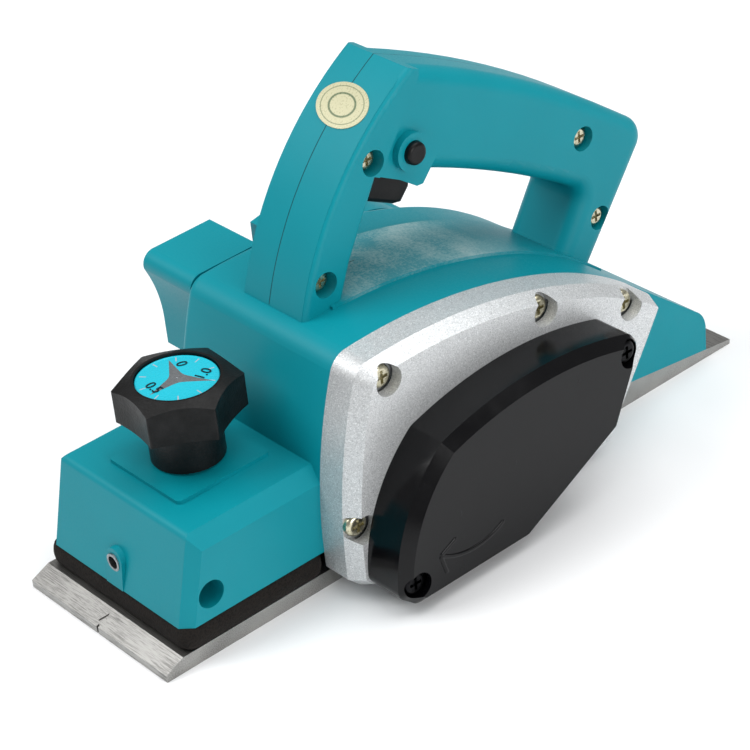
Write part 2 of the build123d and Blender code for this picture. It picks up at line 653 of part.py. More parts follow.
cap_screw = cross_screw(4.2, 2.4, 1.9, 18.0)
with BuildPart() as end_cap_screws:
    with Locations(*[facing_x(cap_x + 2.5, y, z, side=-1) for y, z in cap_screw_places]):
        add(cap_screw)
save(end_cap_screws.part, "end_cap_screws")

# ---------------------------------------------------------------- shoes
mouth_radius = cutting_radius + mouth_clearance
post_bore_depth = 14.0
with BuildPart() as front_shoe:
    plate_side = [
        (toe_y, 0.0), (front_shoe_end_y, 0.0), (front_shoe_end_y, shoe_thickness),
        (toe_y + lip_length, shoe_thickness), (toe_y, lip_thickness),
    ]
    slab_x(plate_side, sliding_gap - half_width, half_width - sliding_gap)
    round_x(mouth_radius, -half_width - 1, half_width + 1, drum_y, drum_z, mode=Mode.SUBTRACT)
    block(-post_half, post_half, knob_y - post_half, knob_y + post_half, shoe_thickness - 1, post_top_z)
    # Bore for the brass nut, and clear room for the screw below it
    round_z(bush_radius, post_top_z - post_bore_depth, post_top_z, 0, knob_y, mode=Mode.SUBTRACT)
    round_z(stem_radius + 1.0, 4.0, post_top_z, 0, knob_y, mode=Mode.SUBTRACT)
    # Small arrowhead cut into the lip to mark the middle of the toe
    lip_lean = atan2(shoe_thickness - lip_thickness, lip_length)
    lip_plane = Plane(
        origin=(0, toe_y + lip_length / 2, (shoe_thickness + lip_thickness) / 2),
        x_dir=(1, 0, 0), z_dir=(0, -sin(lip_lean), cos(lip_lean)),
    )
    with BuildSketch(lip_plane) as toe_mark:
        with BuildLine():
            Polyline((-2.0, -2.2), (2.0, -2.2), (0, 2.2), close=True)
        make_face()
    extrude(toe_mark.sketch, amount=-0.5, mode=Mode.SUBTRACT)
    block(-0.5, 0.5, toe_y - 1, toe_y + 1.0, 0, shoe_thickness, mode=Mode.SUBTRACT)
save(front_shoe.part, "front_shoe")

with BuildPart() as shoe_nut:
    round_z(bush_radius, post_top_z - post_bore_depth, post_top_z, 0, knob_y)
    round_z(stem_radius + running_gap, post_top_z - post_bore_depth, post_top_z, 0, knob_y, mode=Mode.SUBTRACT)
save(shoe_nut.part, "shoe_nut")

with BuildPart() as rear_shoe:
    heel_side = [
        (rear_shoe_start_y, 0.0), (heel_y, 0.0), (heel_y, heel_thickness), (heel_taper_y, body_bottom_z),
        (rear_shoe_start_y, body_bottom_z),
    ]
    slab_x(heel_side, -half_width, half_width)
    round_x(mouth_radius, -half_width - 1, half_width + 1, drum_y, drum_z, mode=Mode.SUBTRACT)
    for y_from, y_to in ((6.0, 58.0), (80.0, 97.0)):
        block(10.0 - half_width, half_width - 10.0, y_from, y_to, 3.5, body_bottom_z + 1, mode=Mode.SUBTRACT)
    with Locations(*[Location((x, y, sole_screw_face_z), (180, 0, 0)) for x, y in sole_screw_places]):
        Cone(2.0 + screw_gap, 4.1, 2.0, align=(Align.CENTER, Align.CENTER, Align.MAX), mode=Mode.SUBTRACT)
        Cylinder(2.0 + screw_gap, 12.0, align=(Align.CENTER, Align.CENTER, Align.MAX), mode=Mode.SUBTRACT)
        Cylinder(4.1, 2.0, align=(Align.CENTER, Align.CENTER, Align.MIN), mode=Mode.SUBTRACT)
save(rear_shoe.part, "rear_shoe")

sole_screw = countersunk_screw(3.9, 2.0, 18.0)
with BuildPart() as sole_screws:
    with Locations(*[Location((x, y, sole_screw_face_z), (180, 0, 0)) for x, y in sole_screw_places]):
        add(sole_screw)
save(sole_screws.part, "sole_screws")

with BuildPart() as foam_seal:
    seal_rear_y = front_wall_y - 1.0
    block(-half_width, half_width, nose_front_y, seal_rear_y, shoe_thickness, nose_bottom_z)
    front_corners = foam_seal.edges().filter_by(Axis.Z).group_by(Axis.Y)[0]
    chamfer(front_corners, nose_corner)
    block(wall - half_width, half_width - wall, nose_front_y + wall, seal_rear_y - wall, shoe_thickness,
          nose_bottom_z, mode=Mode.SUBTRACT)
save(foam_seal.part, "foam_seal")

# ---------------------------------------------------------------- depth knob
grip_z = knob_base_z + 17.0
shoulder_z = knob_top_z - 2.9
stem_top_z = knob_base_z + 22.0
with BuildPart() as depth_knob:
    # Six-cornered grip with hollowed faces, coned off towards the dial
    with BuildSketch(Plane.XY.offset(grip_z)) as grip_section:
        with Locations((0, knob_y)):
            RegularPolygon(knob_radius, 6, rotation=knob_turned)
            with PolarLocations(knob_face_distance + knob_hollow_radius, 6, start_angle=knob_turned + 30):
                Circle(knob_hollow_radius, mode=Mode.SUBTRACT)
        fillet(grip_section.vertices(), 1.0)
    extrude(grip_section.sketch, amount=knob_top_z - grip_z)
    with BuildSketch(Plane.XZ.offset(-knob_y)) as grip_profile:
        with BuildLine():
            Polyline(
                (0, grip_z), (knob_radius, grip_z), (knob_radius, shoulder_z), (knob_rim_radius, knob_top_z),
                (0, knob_top_z), close=True,
            )
        make_face()
    revolve(grip_profile.sketch, axis=Axis((0, knob_y, 0), (0, 0, 1)), mode=Mode.INTERSECT)
    round_z(knob_neck_radius, knob_base_z, grip_z + 1, 0, knob_y)
    round_z(dial_radius + 0.3, knob_top_z - 2.0, knob_top_z, 0, knob_y, mode=Mode.SUBTRACT)
    round_z(stem_radius, knob_base_z, stem_top_z, 0, knob_y, mode=Mode.SUBTRACT)
save(depth_knob.part, "depth_knob")

with BuildPart() as knob_dial:
    round_z(dial_radius, knob_top_z - 2.0, knob_top_z - 2.0 + dial_thickness, 0, knob_y)
save(knob_dial.part, "knob_dial")

clip_thickness = 1.2
clip_z = roof_z - clip_thickness - 0.1
with BuildPart() as knob_stem:
    round_z(stem_radius, 8.0, stem_top_z, 0, knob_y)
    with BuildSketch(Plane.XY.offset(clip_z)) as clip_groove:
        with Locations((0, knob_y)):
            Circle(stem_radius + 1)
            Circle(stem_radius - 0.8, mode=Mode.SUBTRACT)
    extrude(clip_groove.sketch, amount=clip_thickness, mode=Mode.SUBTRACT)
save(knob_stem.part, "knob_stem")

with BuildPart() as stem_clip:
    round_z(bush_radius, clip_z, clip_z + clip_thickness, 0, knob_y)
    round_z(stem_radius - 0.8, clip_z, clip_z + clip_thickness, 0, knob_y, mode=Mode.SUBTRACT)
    block(-2.0, 2.0, knob_y + 2.0, knob_y + bush_radius + 1, clip_z, clip_z + clip_thickness, mode=Mode.SUBTRACT)
save(stem_clip.part, "stem_clip")

with BuildPart() as stem_bush:
    round_z(bush_radius, roof_z, nose_top_z + pad_height, 0, knob_y)
    round_z(stem_radius + running_gap, roof_z, nose_top_z + pad_height, 0, knob_y, mode=Mode.SUBTRACT)
save(stem_bush.part, "stem_bush")

with BuildPart() as shoe_spring:
    with Locations((0, knob_y, post_top_z)):
        add(coil_spring(coil_radius=10.0, wire=1.6, length=roof_z - post_top_z, turns=4))
save(shoe_spring.part, "shoe_spring")

# ---------------------------------------------------------------- fence insert, cord bush, label
with BuildPart() as fence_insert:
    insert_front_y = nose_front_y + 0.5
    round_y(insert_radius, insert_front_y, insert_front_y + insert_length, 0, fence_z)
    round_y(fence_thread_radius, insert_front_y, insert_front_y + insert_length, 0, fence_z, mode=Mode.SUBTRACT)
save(fence_insert.part, "fence_insert")

with BuildPart() as cord_inlet_bush:
    round_x(8.0, -grip_half - 3.0, -grip_half, inlet_y, inlet_z)
    round_x(inlet_neck_radius, -grip_half, -cavity_half, inlet_y, inlet_z)
    round_x(inlet_bore_radius, -grip_half - 3.0, -cavity_half, inlet_y, inlet_z, mode=Mode.SUBTRACT)
save(cord_inlet_bush.part, "cord_inlet_bush")

label_y, label_z = -9.7, 157.8
label_thickness = 0.3
with BuildPart() as oval_label:
    with BuildSketch(Plane.YZ) as label_band:
        with BuildLine():
            ThreePointArc((-52.5, 84.0), (-31.0, 133.0), (9.0, 169.5))
            offset(amount=label_thickness, side=Side.LEFT, closed=True)
        make_face()
    extrude(label_band.sketch, amount=leg_half, both=True)
    label_plane = Plane(origin=(0, label_y + 6.0, label_z - 7.0), x_dir=(1, 0, 0), z_dir=(0, -0.65, 0.76))
    with BuildSketch(label_plane) as label_shape:
        Ellipse(12.6, 8.8)
    extrude(label_shape.sketch, amount=30.0, mode=Mode.INTERSECT)
save(oval_label.part, "oval_label")

# ---------------------------------------------------------------- trigger, switch and lock button
trigger_top_z = 130.8
trigger_flange = 1.2
with BuildPart() as trigger:
    trigger_side = [
        (trigger_front_y, 135.5), (trigger_front_y, 119.7), (4.0, 113.8), (7.5, 113.2), (11.0, 117.0),
        (trigger_rear_y, trigger_top_z - 1), (trigger_nose_y, trigger_top_z - 1), (trigger_nose_y, 135.5),
    ]
    slab_x(trigger_side, -trigger_half, trigger_half)
    lower_edges = trigger.edges().filter_by(lambda e: abs(e.center().X) > trigger_half - 0.1 and e.center().Z < 119)
    fillet(lower_edges, 2.0)
    block(-trigger_half - 2.0, trigger_half + 2.0, 2.5, trigger_rear_y - 1.0, trigger_top_z - trigger_flange,
          trigger_top_z)
    block(-trigger_half, trigger_half, trigger_nose_y - 1.0, 3.0, trigger_top_z - trigger_flange, trigger_top_z)
save(trigger.part, "trigger")

plunger_x, plunger_y, plunger_radius = -3.0, 4.0, 1.6
switch_z = trigger_top_z + trigger_travel + 1.0
switch_height = 11.0
with BuildPart() as switch_plunger:
    round_z(plunger_radius, trigger_top_z, switch_z + 3.0, plunger_x, plunger_y)
save(switch_plunger.part, "switch_plunger")

with BuildPart() as switch_body:
    block(-cavity_half, 4.5, -3.0, 24.0, switch_z, switch_z + switch_height)
    round_z(plunger_radius + sliding_gap, switch_z, switch_z + 3.5 + trigger_travel, plunger_x, plunger_y,
            mode=Mode.SUBTRACT)
    for y in (3.0, 10.5, 18.0):
        round_x(1.6, 1.5, 5.0, y, switch_z + 8.5, mode=Mode.SUBTRACT)
save(switch_body.part, "switch_body")

with BuildPart() as suppressor_capacitor:
    block(-cavity_half, -2.0, 36.0, 54.0, 124.2, 130.0)
    fillet(suppressor_capacitor.edges().filter_by(Axis.X), 1.2)
save(suppressor_capacitor.part, "suppressor_capacitor")

button_inner_x = 8.5
button_out_x = leg_half + button_ring_height + 2.5
with BuildPart() as lock_button:
    round_x(button_radius, button_inner_x, button_out_x, button_y, button_z)
    fillet(lock_button.faces().sort_by(Axis.X)[-1].edges(), 1.4)
    round_x(button_radius + 1.4, button_inner_x, button_inner_x + 1.4, button_y, button_z)
    # A flat under the inner end lets the pulled trigger pass the pressed button
    flat_z = trigger_top_z + trigger_travel + 0.3
    flat_end_x = trigger_half + 2.0 + button_travel + 0.4
    block(button_inner_x - 1, flat_end_x, button_y - 8.0, button_y + 8.0, button_z - 8.0, flat_z, mode=Mode.SUBTRACT)
save(lock_button.part, "lock_button")

# ---------------------------------------------------------------- cutter drum
drum_half = half_width - drum_end_gap
far_shaft_radius = 5.0
pulley_end_x = pulley_x + pulley_width
nut_thickness = 1.8
gullet_floor, gullet_low, gullet_high = 14.0, 9.0, 2.0
with BuildPart() as cutter_drum:
    round_x(drum_radius, -drum_half, drum_half, drum_y, drum_z)
    round_x(far_shaft_radius, far_drum_seat, -drum_half, drum_y, drum_z)
    round_x(drum_shaft_radius, drum_half, near_drum_seat + drum_bearing_width, drum_y, drum_z)
    round_x(far_shaft_radius, near_drum_seat + drum_bearing_width, pulley_end_x + nut_thickness, drum_y, drum_z)
    # Two opposite gullets, each with room for a blade, its clamp and the bolts
    for side in (-1, 1):
        gullet = [
            (drum_y + side * (drum_radius + 1.0), drum_z - side * gullet_low),
            (drum_y + side * gullet_floor, drum_z - side * gullet_low),
            (drum_y + side * gullet_floor, drum_z + side * gullet_high),
            (drum_y + side * (drum_radius + 1.0), drum_z + side * gullet_high),
        ]
        slab_x(gullet, -drum_half, drum_half, mode=Mode.SUBTRACT)
save(cutter_drum.part, "cutter_drum")

edge_reach = cutting_radius - 0.15
clamp_face = gullet_high - blade_thickness
clamp_depth = 3.6
with BuildPart() as drum_blades:
    for side in (-1, 1):
        blade_side = [
            (drum_y + side * (edge_reach - blade_height), drum_z + side * gullet_high),
            (drum_y + side * edge_reach, drum_z + side * gullet_high),
            (drum_y + side * (edge_reach - 1.6), drum_z + side * clamp_face),
            (drum_y + side * (edge_reach - blade_height), drum_z + side * clamp_face),
        ]
        slab_x(blade_side, -drum_half, drum_half)
save(drum_blades.part, "drum_blades")

with BuildPart() as blade_clamps:
    for side in (-1, 1):
        clamp_side = [
            (drum_y + side * gullet_floor, drum_z + side * clamp_face),
            (drum_y + side * (drum_radius - 1.6), drum_z + side * clamp_face),
            (drum_y + side * (drum_radius - 4.0), drum_z - side * clamp_depth),
            (drum_y + side * gullet_floor, drum_z - side * clamp_depth),
        ]
        slab_x(clamp_side, -drum_half + 2.0, drum_half - 2.0)
save(blade_clamps.part, "blade_clamps")

with BuildPart() as blade_bolts:
    for side in (-1, 1):
        with BuildSketch(Plane.XY.offset(drum_z - side * clamp_depth)) as bolt_heads:
            with Locations(*[(x, drum_y + side * (gullet_floor + 2.8)) for x in (-26.0, 0.0, 26.0)]):
                RegularPolygon(2.7, 6)
        extrude(bolt_heads.sketch, amount=-side * 2.0)
save(blade_bolts.part, "blade_bolts")

# ---------------------------------------------------------------- belt drive
rim = 0.8


def pulley(radius, bore, y, z):
    """A grooved belt pulley with a rim at each end."""
    with BuildPart() as wheel:
        round_x(radius, pulley_x, pulley_end_x, y, z)
        for x in (pulley_x, pulley_end_x - rim):
            round_x(radius + rim, x, x + rim, y, z)
        for groove in range(5):
            x = pulley_x + 2.0 + groove * 1.8
            with BuildSketch(Plane.YZ.offset(x)) as groove_ring:
                with Locations((y, z)):
                    Circle(radius + 0.5)
                    Circle(radius - 0.7, mode=Mode.SUBTRACT)
            extrude(groove_ring.sketch, amount=0.8, mode=Mode.SUBTRACT)
        round_x(bore, pulley_x, pulley_end_x, y, z, mode=Mode.SUBTRACT)
    return wheel.part


save(pulley(drum_pulley_radius, far_shaft_radius, drum_y, drum_z), "drum_pulley")
save(pulley(motor_pulley_radius, tail_shaft_radius, motor_y, motor_z), "motor_pulley")

with BuildPart() as drum_pulley_nut:
    with BuildSketch(Plane.YZ.offset(pulley_end_x)) as nut_shape:
        with Locations((drum_y, drum_z)):
            RegularPolygon(8.0, 6)
            Circle(far_shaft_radius, mode=Mode.SUBTRACT)
    extrude(nut_shape.sketch, amount=nut_thickness)
save(drum_pulley_nut.part, "drum_pulley_nut")

shaft_span = hypot(motor_y - drum_y, motor_z - drum_z)
belt_turn = atan2(motor_z - drum_z, motor_y - drum_y)
belt_plane = Plane(
    origin=(pulley_x + (pulley_width - belt_width) / 2, drum_y, drum_z),
    x_dir=(0, cos(belt_turn), sin(belt_turn)), z_dir=(1, 0, 0),
)
with BuildPart() as drive_belt:
    # Two arcs joined by the straight runs that touch both
    for gap, mode in ((soft_gap + belt_thickness, Mode.ADD), (soft_gap, Mode.SUBTRACT)):
        big, small = drum_pulley_radius + gap, motor_pulley_radius + gap
        lean = (big - small) / shaft_span
        rise = (1 - lean * lean) ** 0.5
        big_end, small_end = (big * lean, big * rise), (shaft_span + small * lean, small * rise)
        with BuildSketch(belt_plane) as belt_loop:
            with BuildLine():
                Line(big_end, small_end)
                ThreePointArc(small_end, (shaft_span + small, 0), (small_end[0], -small_end[1]))
                Line((small_end[0], -small_end[1]), (big_end[0], -big_end[1]))
                ThreePointArc((big_end[0], -big_end[1]), (-big, 0), big_end)
            make_face()
        extrude(belt_loop.sketch, amount=belt_width, mode=mode)
save(drive_belt.part, "drive_belt")

# ---------------------------------------------------------------- motor, turning parts
near_motor_face = near_motor_seat + motor_bearing_width
with BuildPart() as armature_shaft:
    round_x(tail_shaft_radius, tail_seat + 0.5, core_far_x - 2.0, motor_y, motor_z)
    round_x(motor_shaft_radius, core_far_x - 2.0, near_motor_face, motor_y, motor_z)
    round_x(tail_shaft_radius, near_motor_face, pulley_end_x + 1.0, motor_y, motor_z)
save(armature_shaft.part, "armature_shaft")

with BuildPart() as armature_core:
    with BuildSketch(Plane.YZ.offset(core_far_x)) as lamination:
        with Locations((motor_y, motor_z)):
            Circle(core_radius)
            Circle(motor_shaft_radius, mode=Mode.SUBTRACT)
            with PolarLocations(core_radius - 2.0, 12):
                Rectangle(6.0, 1.8, mode=Mode.SUBTRACT)
    extrude(lamination.sketch, amount=core_length)
save(armature_core.part, "armature_core")

overhang = 7.0
with BuildPart() as armature_windings:
    for x in (core_far_x - overhang, core_near_x):
        round_x(core_radius - 1.5, x, x + overhang, motor_y, motor_z)
    round_x(motor_shaft_radius + 1.5, core_far_x - overhang, core_near_x + overhang, motor_y, motor_z,
            mode=Mode.SUBTRACT)
save(armature_windings.part, "armature_windings")

with BuildPart() as commutator:
    with BuildSketch(Plane.YZ.offset(core_far_x - overhang - 2.0 - commutator_length)) as segments:
        with Locations((motor_y, motor_z)):
            Circle(commutator_radius)
            Circle(tail_shaft_radius, mode=Mode.SUBTRACT)
            with PolarLocations(commutator_radius, 24):
                Rectangle(2.0, 0.5, mode=Mode.SUBTRACT)
    extrude(segments.sketch, amount=commutator_length)
save(commutator.part, "commutator")

fan_plate = 1.5
with BuildPart() as cooling_fan:
    round_x(fan_radius, fan_x, fan_x + fan_plate, motor_y, motor_z)
    round_x(9.0, fan_x, fan_x + fan_width, motor_y, motor_z)
    with BuildSketch(Plane.YZ.offset(fan_x + fan_plate)) as vanes:
        with Locations((motor_y, motor_z)):
            with PolarLocations(18.0, 12):
                Rectangle(20.0, 1.2)
    extrude(vanes.sketch, amount=fan_width - fan_plate)
    round_x(motor_shaft_radius, fan_x, fan_x + fan_width, motor_y, motor_z, mode=Mode.SUBTRACT)
save(cooling_fan.part, "cooling_fan")

# ---------------------------------------------------------------- motor, fixed parts
stator_bore = core_radius + air_gap
pole_half_height = 10.0
with BuildPart() as stator_core:
    with BuildSketch(Plane.YZ.offset(core_far_x)) as stator_section:
        with Locations((motor_y, motor_z)):
            Circle(motor_chamber_radius)
            Circle(motor_chamber_radius - 6.0, mode=Mode.SUBTRACT)
            Rectangle(2 * motor_chamber_radius - 4.0, 2 * pole_half_height)
            Circle(stator_bore, mode=Mode.SUBTRACT)
    extrude(stator_section.sketch, amount=core_length)
save(stator_core.part, "stator_core")

with BuildPart() as stator_coils:
    for side in (-1, 1):
        inner_y, outer_y = motor_y + side * (stator_bore + 0.7), motor_y + side * (stator_bore + 3.8)
        low_y, high_y = min(inner_y, outer_y), max(inner_y, outer_y)
        block(core_far_x - 6.0, core_near_x + 6.0, low_y, high_y, motor_z - 15.0, motor_z + 15.0)
        block(core_far_x, core_near_x, low_y, high_y, motor_z - pole_half_height, motor_z + pole_half_height,
              mode=Mode.SUBTRACT)
save(stator_coils.part, "stator_coils")

baffle_x = core_near_x + overhang + 3.0
with BuildPart() as fan_baffle:
    round_x(motor_chamber_radius, baffle_x, baffle_x + 2.0, motor_y, motor_z)
    round_x(motor_chamber_radius - 12.0, baffle_x, baffle_x + 2.0, motor_y, motor_z, mode=Mode.SUBTRACT)
save(fan_baffle.part, "fan_baffle")

brush_start = commutator_radius + 0.15
brush_length = 10.0
cap_inner, cap_outer = motor_chamber_radius - 3.0, barrel_radius - 0.6
brush_half, holder_half = 2.8, 4.2
with BuildPart() as brush_holders:
    for side in (-1, 1):
        with BuildSketch(Plane.XZ.offset(-motor_y - side * (brush_start + 1.5))) as holder:
            with Locations((brush_x, motor_z)):
                Rectangle(2 * holder_half, 2 * holder_half)
                Rectangle(2 * brush_half + 0.2, 2 * brush_half + 0.2, mode=Mode.SUBTRACT)
        extrude(holder.sketch, amount=-side * (cap_inner - brush_start - 1.5))
save(brush_holders.part, "brush_holders")

with BuildPart() as carbon_brushes:
    for side in (-1, 1):
        with BuildSketch(Plane.XZ.offset(-motor_y - side * brush_start)) as brush:
            with Locations((brush_x, motor_z)):
                Rectangle(2 * brush_half, 2 * brush_half)
        extrude(brush.sketch, amount=-side * brush_length)
save(carbon_brushes.part, "carbon_brushes")

with BuildPart() as brush_springs:
    spring_length = cap_inner - brush_start - brush_length
    brush_spring = coil_spring(coil_radius=2.1, wire=0.6, length=spring_length, turns=4)
    for side in (-1, 1):
        spring_seat = Plane(
            origin=(brush_x, motor_y + side * (brush_start + brush_length), motor_z), x_dir=(1, 0, 0), z_dir=(0, side, 0)
        )
        with Locations(Location(spring_seat)):
            add(brush_spring)
save(brush_springs.part, "brush_springs")

with BuildPart() as brush_caps:
    for side in (-1, 1):
        round_y(brush_cap_radius, motor_y + side * cap_inner, motor_y + side * cap_outer, brush_x, motor_z)
        slot_y = motor_y + side * cap_outer
        block(brush_x - 4.5, brush_x + 4.5, slot_y - 1.2, slot_y + 1.2, motor_z - 0.7, motor_z + 0.7, mode=Mode.SUBTRACT)
save(brush_caps.part, "brush_caps")

# ---------------------------------------------------------------- ball bearings
bearing_places = {
    "near_drum_bearing": (near_drum_seat, drum_y, drum_z, drum_bearing_radius, drum_shaft_radius, drum_bearing_width),
    "far_drum_bearing": (
        far_drum_seat, drum_y, drum_z, far_drum_bearing_radius, far_shaft_radius, far_drum_bearing_width,
    ),
    "motor_bearing": (
        near_motor_seat, motor_y, motor_z, motor_bearing_radius, motor_shaft_radius, motor_bearing_width,
    ),
    "tail_bearing": (tail_seat, motor_y, motor_z, tail_bearing_radius, tail_shaft_radius, tail_bearing_width),
}
for name, (x, y, z, outer, shaft, width) in bearing_places.items():
    with BuildPart() as placed_bearing:
        with Locations(facing_x(x, y, z)):
            add(ball_bearing(outer, shaft + running_gap, width))
    save(placed_bearing.part, name)
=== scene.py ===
import math

import bpy
import numpy as np
from mathutils import Matrix, Vector


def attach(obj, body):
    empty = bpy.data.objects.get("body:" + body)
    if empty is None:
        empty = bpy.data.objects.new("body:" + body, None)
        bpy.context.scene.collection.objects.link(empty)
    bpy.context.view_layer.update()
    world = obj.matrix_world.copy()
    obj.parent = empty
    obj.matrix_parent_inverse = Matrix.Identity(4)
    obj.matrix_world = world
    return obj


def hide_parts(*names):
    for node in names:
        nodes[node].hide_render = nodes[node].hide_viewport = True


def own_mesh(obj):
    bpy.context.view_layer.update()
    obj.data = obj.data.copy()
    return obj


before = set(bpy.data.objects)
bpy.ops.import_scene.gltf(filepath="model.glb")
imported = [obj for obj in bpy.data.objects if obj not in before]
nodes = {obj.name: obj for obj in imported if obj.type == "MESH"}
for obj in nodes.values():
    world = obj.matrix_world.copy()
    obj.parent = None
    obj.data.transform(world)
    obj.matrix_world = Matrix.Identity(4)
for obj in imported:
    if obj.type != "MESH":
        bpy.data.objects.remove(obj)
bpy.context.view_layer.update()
mm = 0.001
print("frame loaded:", len(nodes), "nodes")


# Linear colour from an sRGB hex value
def hexColour(value):
    parts = [int(value[i:i + 2], 16) / 255 for i in (1, 3, 5)]
    return [p / 12.92 if p <= 0.04045 else ((p + 0.055) / 1.055) ** 2.4 for p in parts] + [1.0]


# One node with its settings and links; a setting is a socket where there is one, else a property
def addNode(tree, kind, settings=None, links=None):
    node = tree.nodes.new("ShaderNode" + kind)
    for name, value in (settings or {}).items():
        if isinstance(name, int) or name in node.inputs:
            node.inputs[name].default_value = value
        else:
            setattr(node, name, value)
    for name, source in (links or {}).items():
        tree.links.new(source, node.inputs[name])
    return node


def startMaterial(name):
    material = bpy.data.materials.new(name)
    material.use_nodes = True
    tree = material.node_tree
    tree.nodes.clear()
    shader = addNode(tree, "BsdfPrincipled")
    addNode(tree, "OutputMaterial", links={"Surface": shader.outputs[0]})
    coords = addNode(tree, "TexCoord")
    return material, tree, shader, coords.outputs["Object"]


def setShader(tree, shader, links, values=None):
    for name, source in links.items():
        tree.links.new(source, shader.inputs[name])
    for name, value in (values or {}).items():
        shader.inputs[name].default_value = value


def colourSteps(tree, factor, steps):
    ramp = addNode(tree, "ValToRGB", links={"Fac": factor})
    elements = ramp.color_ramp.elements
    while len(elements) < len(steps):
        elements.new(0.5)
    for element, (place, value) in zip(elements, steps):
        element.position = place
        element.color = hexColour(value)
    return ramp.outputs["Color"]


# Centre and radius of the circle through three points
def circleThrough(a, b, c):
    (ay, az), (by, bz), (cy, cz) = a, b, c
    aa, bb, cc = ay ** 2 + az ** 2, by ** 2 + bz ** 2, cy ** 2 + cz ** 2
    d = 2 * (ay * (bz - cz) + by * (cz - az) + cy * (az - bz))
    uy = (aa * (bz - cz) + bb * (cz - az) + cc * (az - bz)) / d
    uz = (aa * (cy - by) + bb * (ay - cy) + cc * (by - ay)) / d
    return (uy, uz), math.hypot(ay - uy, az - uz)


# The dome is an arc through three points of its ridge line
domeCentre, domeRadius = circleThrough((-0.057, 0.092), (-0.0045, 0.0912), (0.048, 0.0775))

# Moulded ABS, spark-eroded mould: an even satin with a fine grain and soft flow waves
mouldedAbs = {
    "colour": "#00828f", "worn": "#048e9b", "roughness": 0.42, "grainMm": 0.7, "grainDepthMm": 0.035,
    "waveMm": 38.0, "seamMm": -2.0, "seamHalfMm": 0.28, "seamFromMm": 93.0, "seamShadeColour": "#063f46",
    "wornShare": 0.35, "seamSink": -4.0,
}
# The raised strip on the dome, scuffed to a silvery bloom that is part real dust and part painted sheen.
# Each pair of places says where there is none of it and where it is full
scuffedSheenStrip = {
    "dustSheen": "#9fbcbc", "speckMm": 1.1, "cloudMm": 22.0, "noise": (0.86, 1.22), "share": (0.12, 0.85),
    "halfWidthMm": (19.2, 18.8), "aboveDomeMm": (1.7, 1.4),
    "frontFadeMm": (-34.0, -22.0), "rearFadeMm": (62.0, 30.0),
}


# Share of silvery dust and painted sheen: within the strip's width, just above the dome, and fading before it
# meets the legs
def stripDustSheen(tree, place, split, setting):
    across = addNode(tree, "Math", {"operation": "ABSOLUTE"}, {0: split.outputs[0]})
    flat = addNode(tree, "VectorMath", {"operation": "MULTIPLY", 1: (0, 1, 1)}, {0: place})
    fromCentre = addNode(tree, "VectorMath", {"operation": "DISTANCE", 1: (0, *domeCentre)},
                         {0: flat.outputs[0]})
    speck = addNode(tree, "TexNoise",
                    {"Scale": 1 / (setting["speckMm"] * mm), "Detail": 4.0, "Roughness": 0.75},
                    {"Vector": place})
    cloud = addNode(tree, "TexNoise", {"Scale": 1 / (setting["cloudMm"] * mm), "Detail": 3.0},
                    {"Vector": place})
    speckle = addNode(tree, "Math", {"operation": "ADD"}, {0: speck.outputs["Fac"], 1: cloud.outputs["Fac"]})
    (low, high), (least, most) = setting["noise"], setting["share"]
    dustSheen = addNode(tree, "MapRange", {1: low, 2: high, 3: least, 4: most}, {0: speckle.outputs[0]}).outputs[0]
    gates = [
        (across.outputs[0], 0.0, setting["halfWidthMm"]),
        (fromCentre.outputs["Value"], domeRadius, setting["aboveDomeMm"]),
        (split.outputs[1], 0.0, setting["frontFadeMm"]),
        (split.outputs[1], 0.0, setting["rearFadeMm"]),
    ]
    for source, start, (bare, full) in gates:
        gate = addNode(tree, "MapRange", {1: start + bare * mm, 2: start + full * mm, 3: 0.0, 4: 1.0},
                       {0: source})
        dustSheen = addNode(tree, "Math", {"operation": "MULTIPLY"}, {0: dustSheen, 1: gate.outputs[0]}).outputs[0]
    return dustSheen


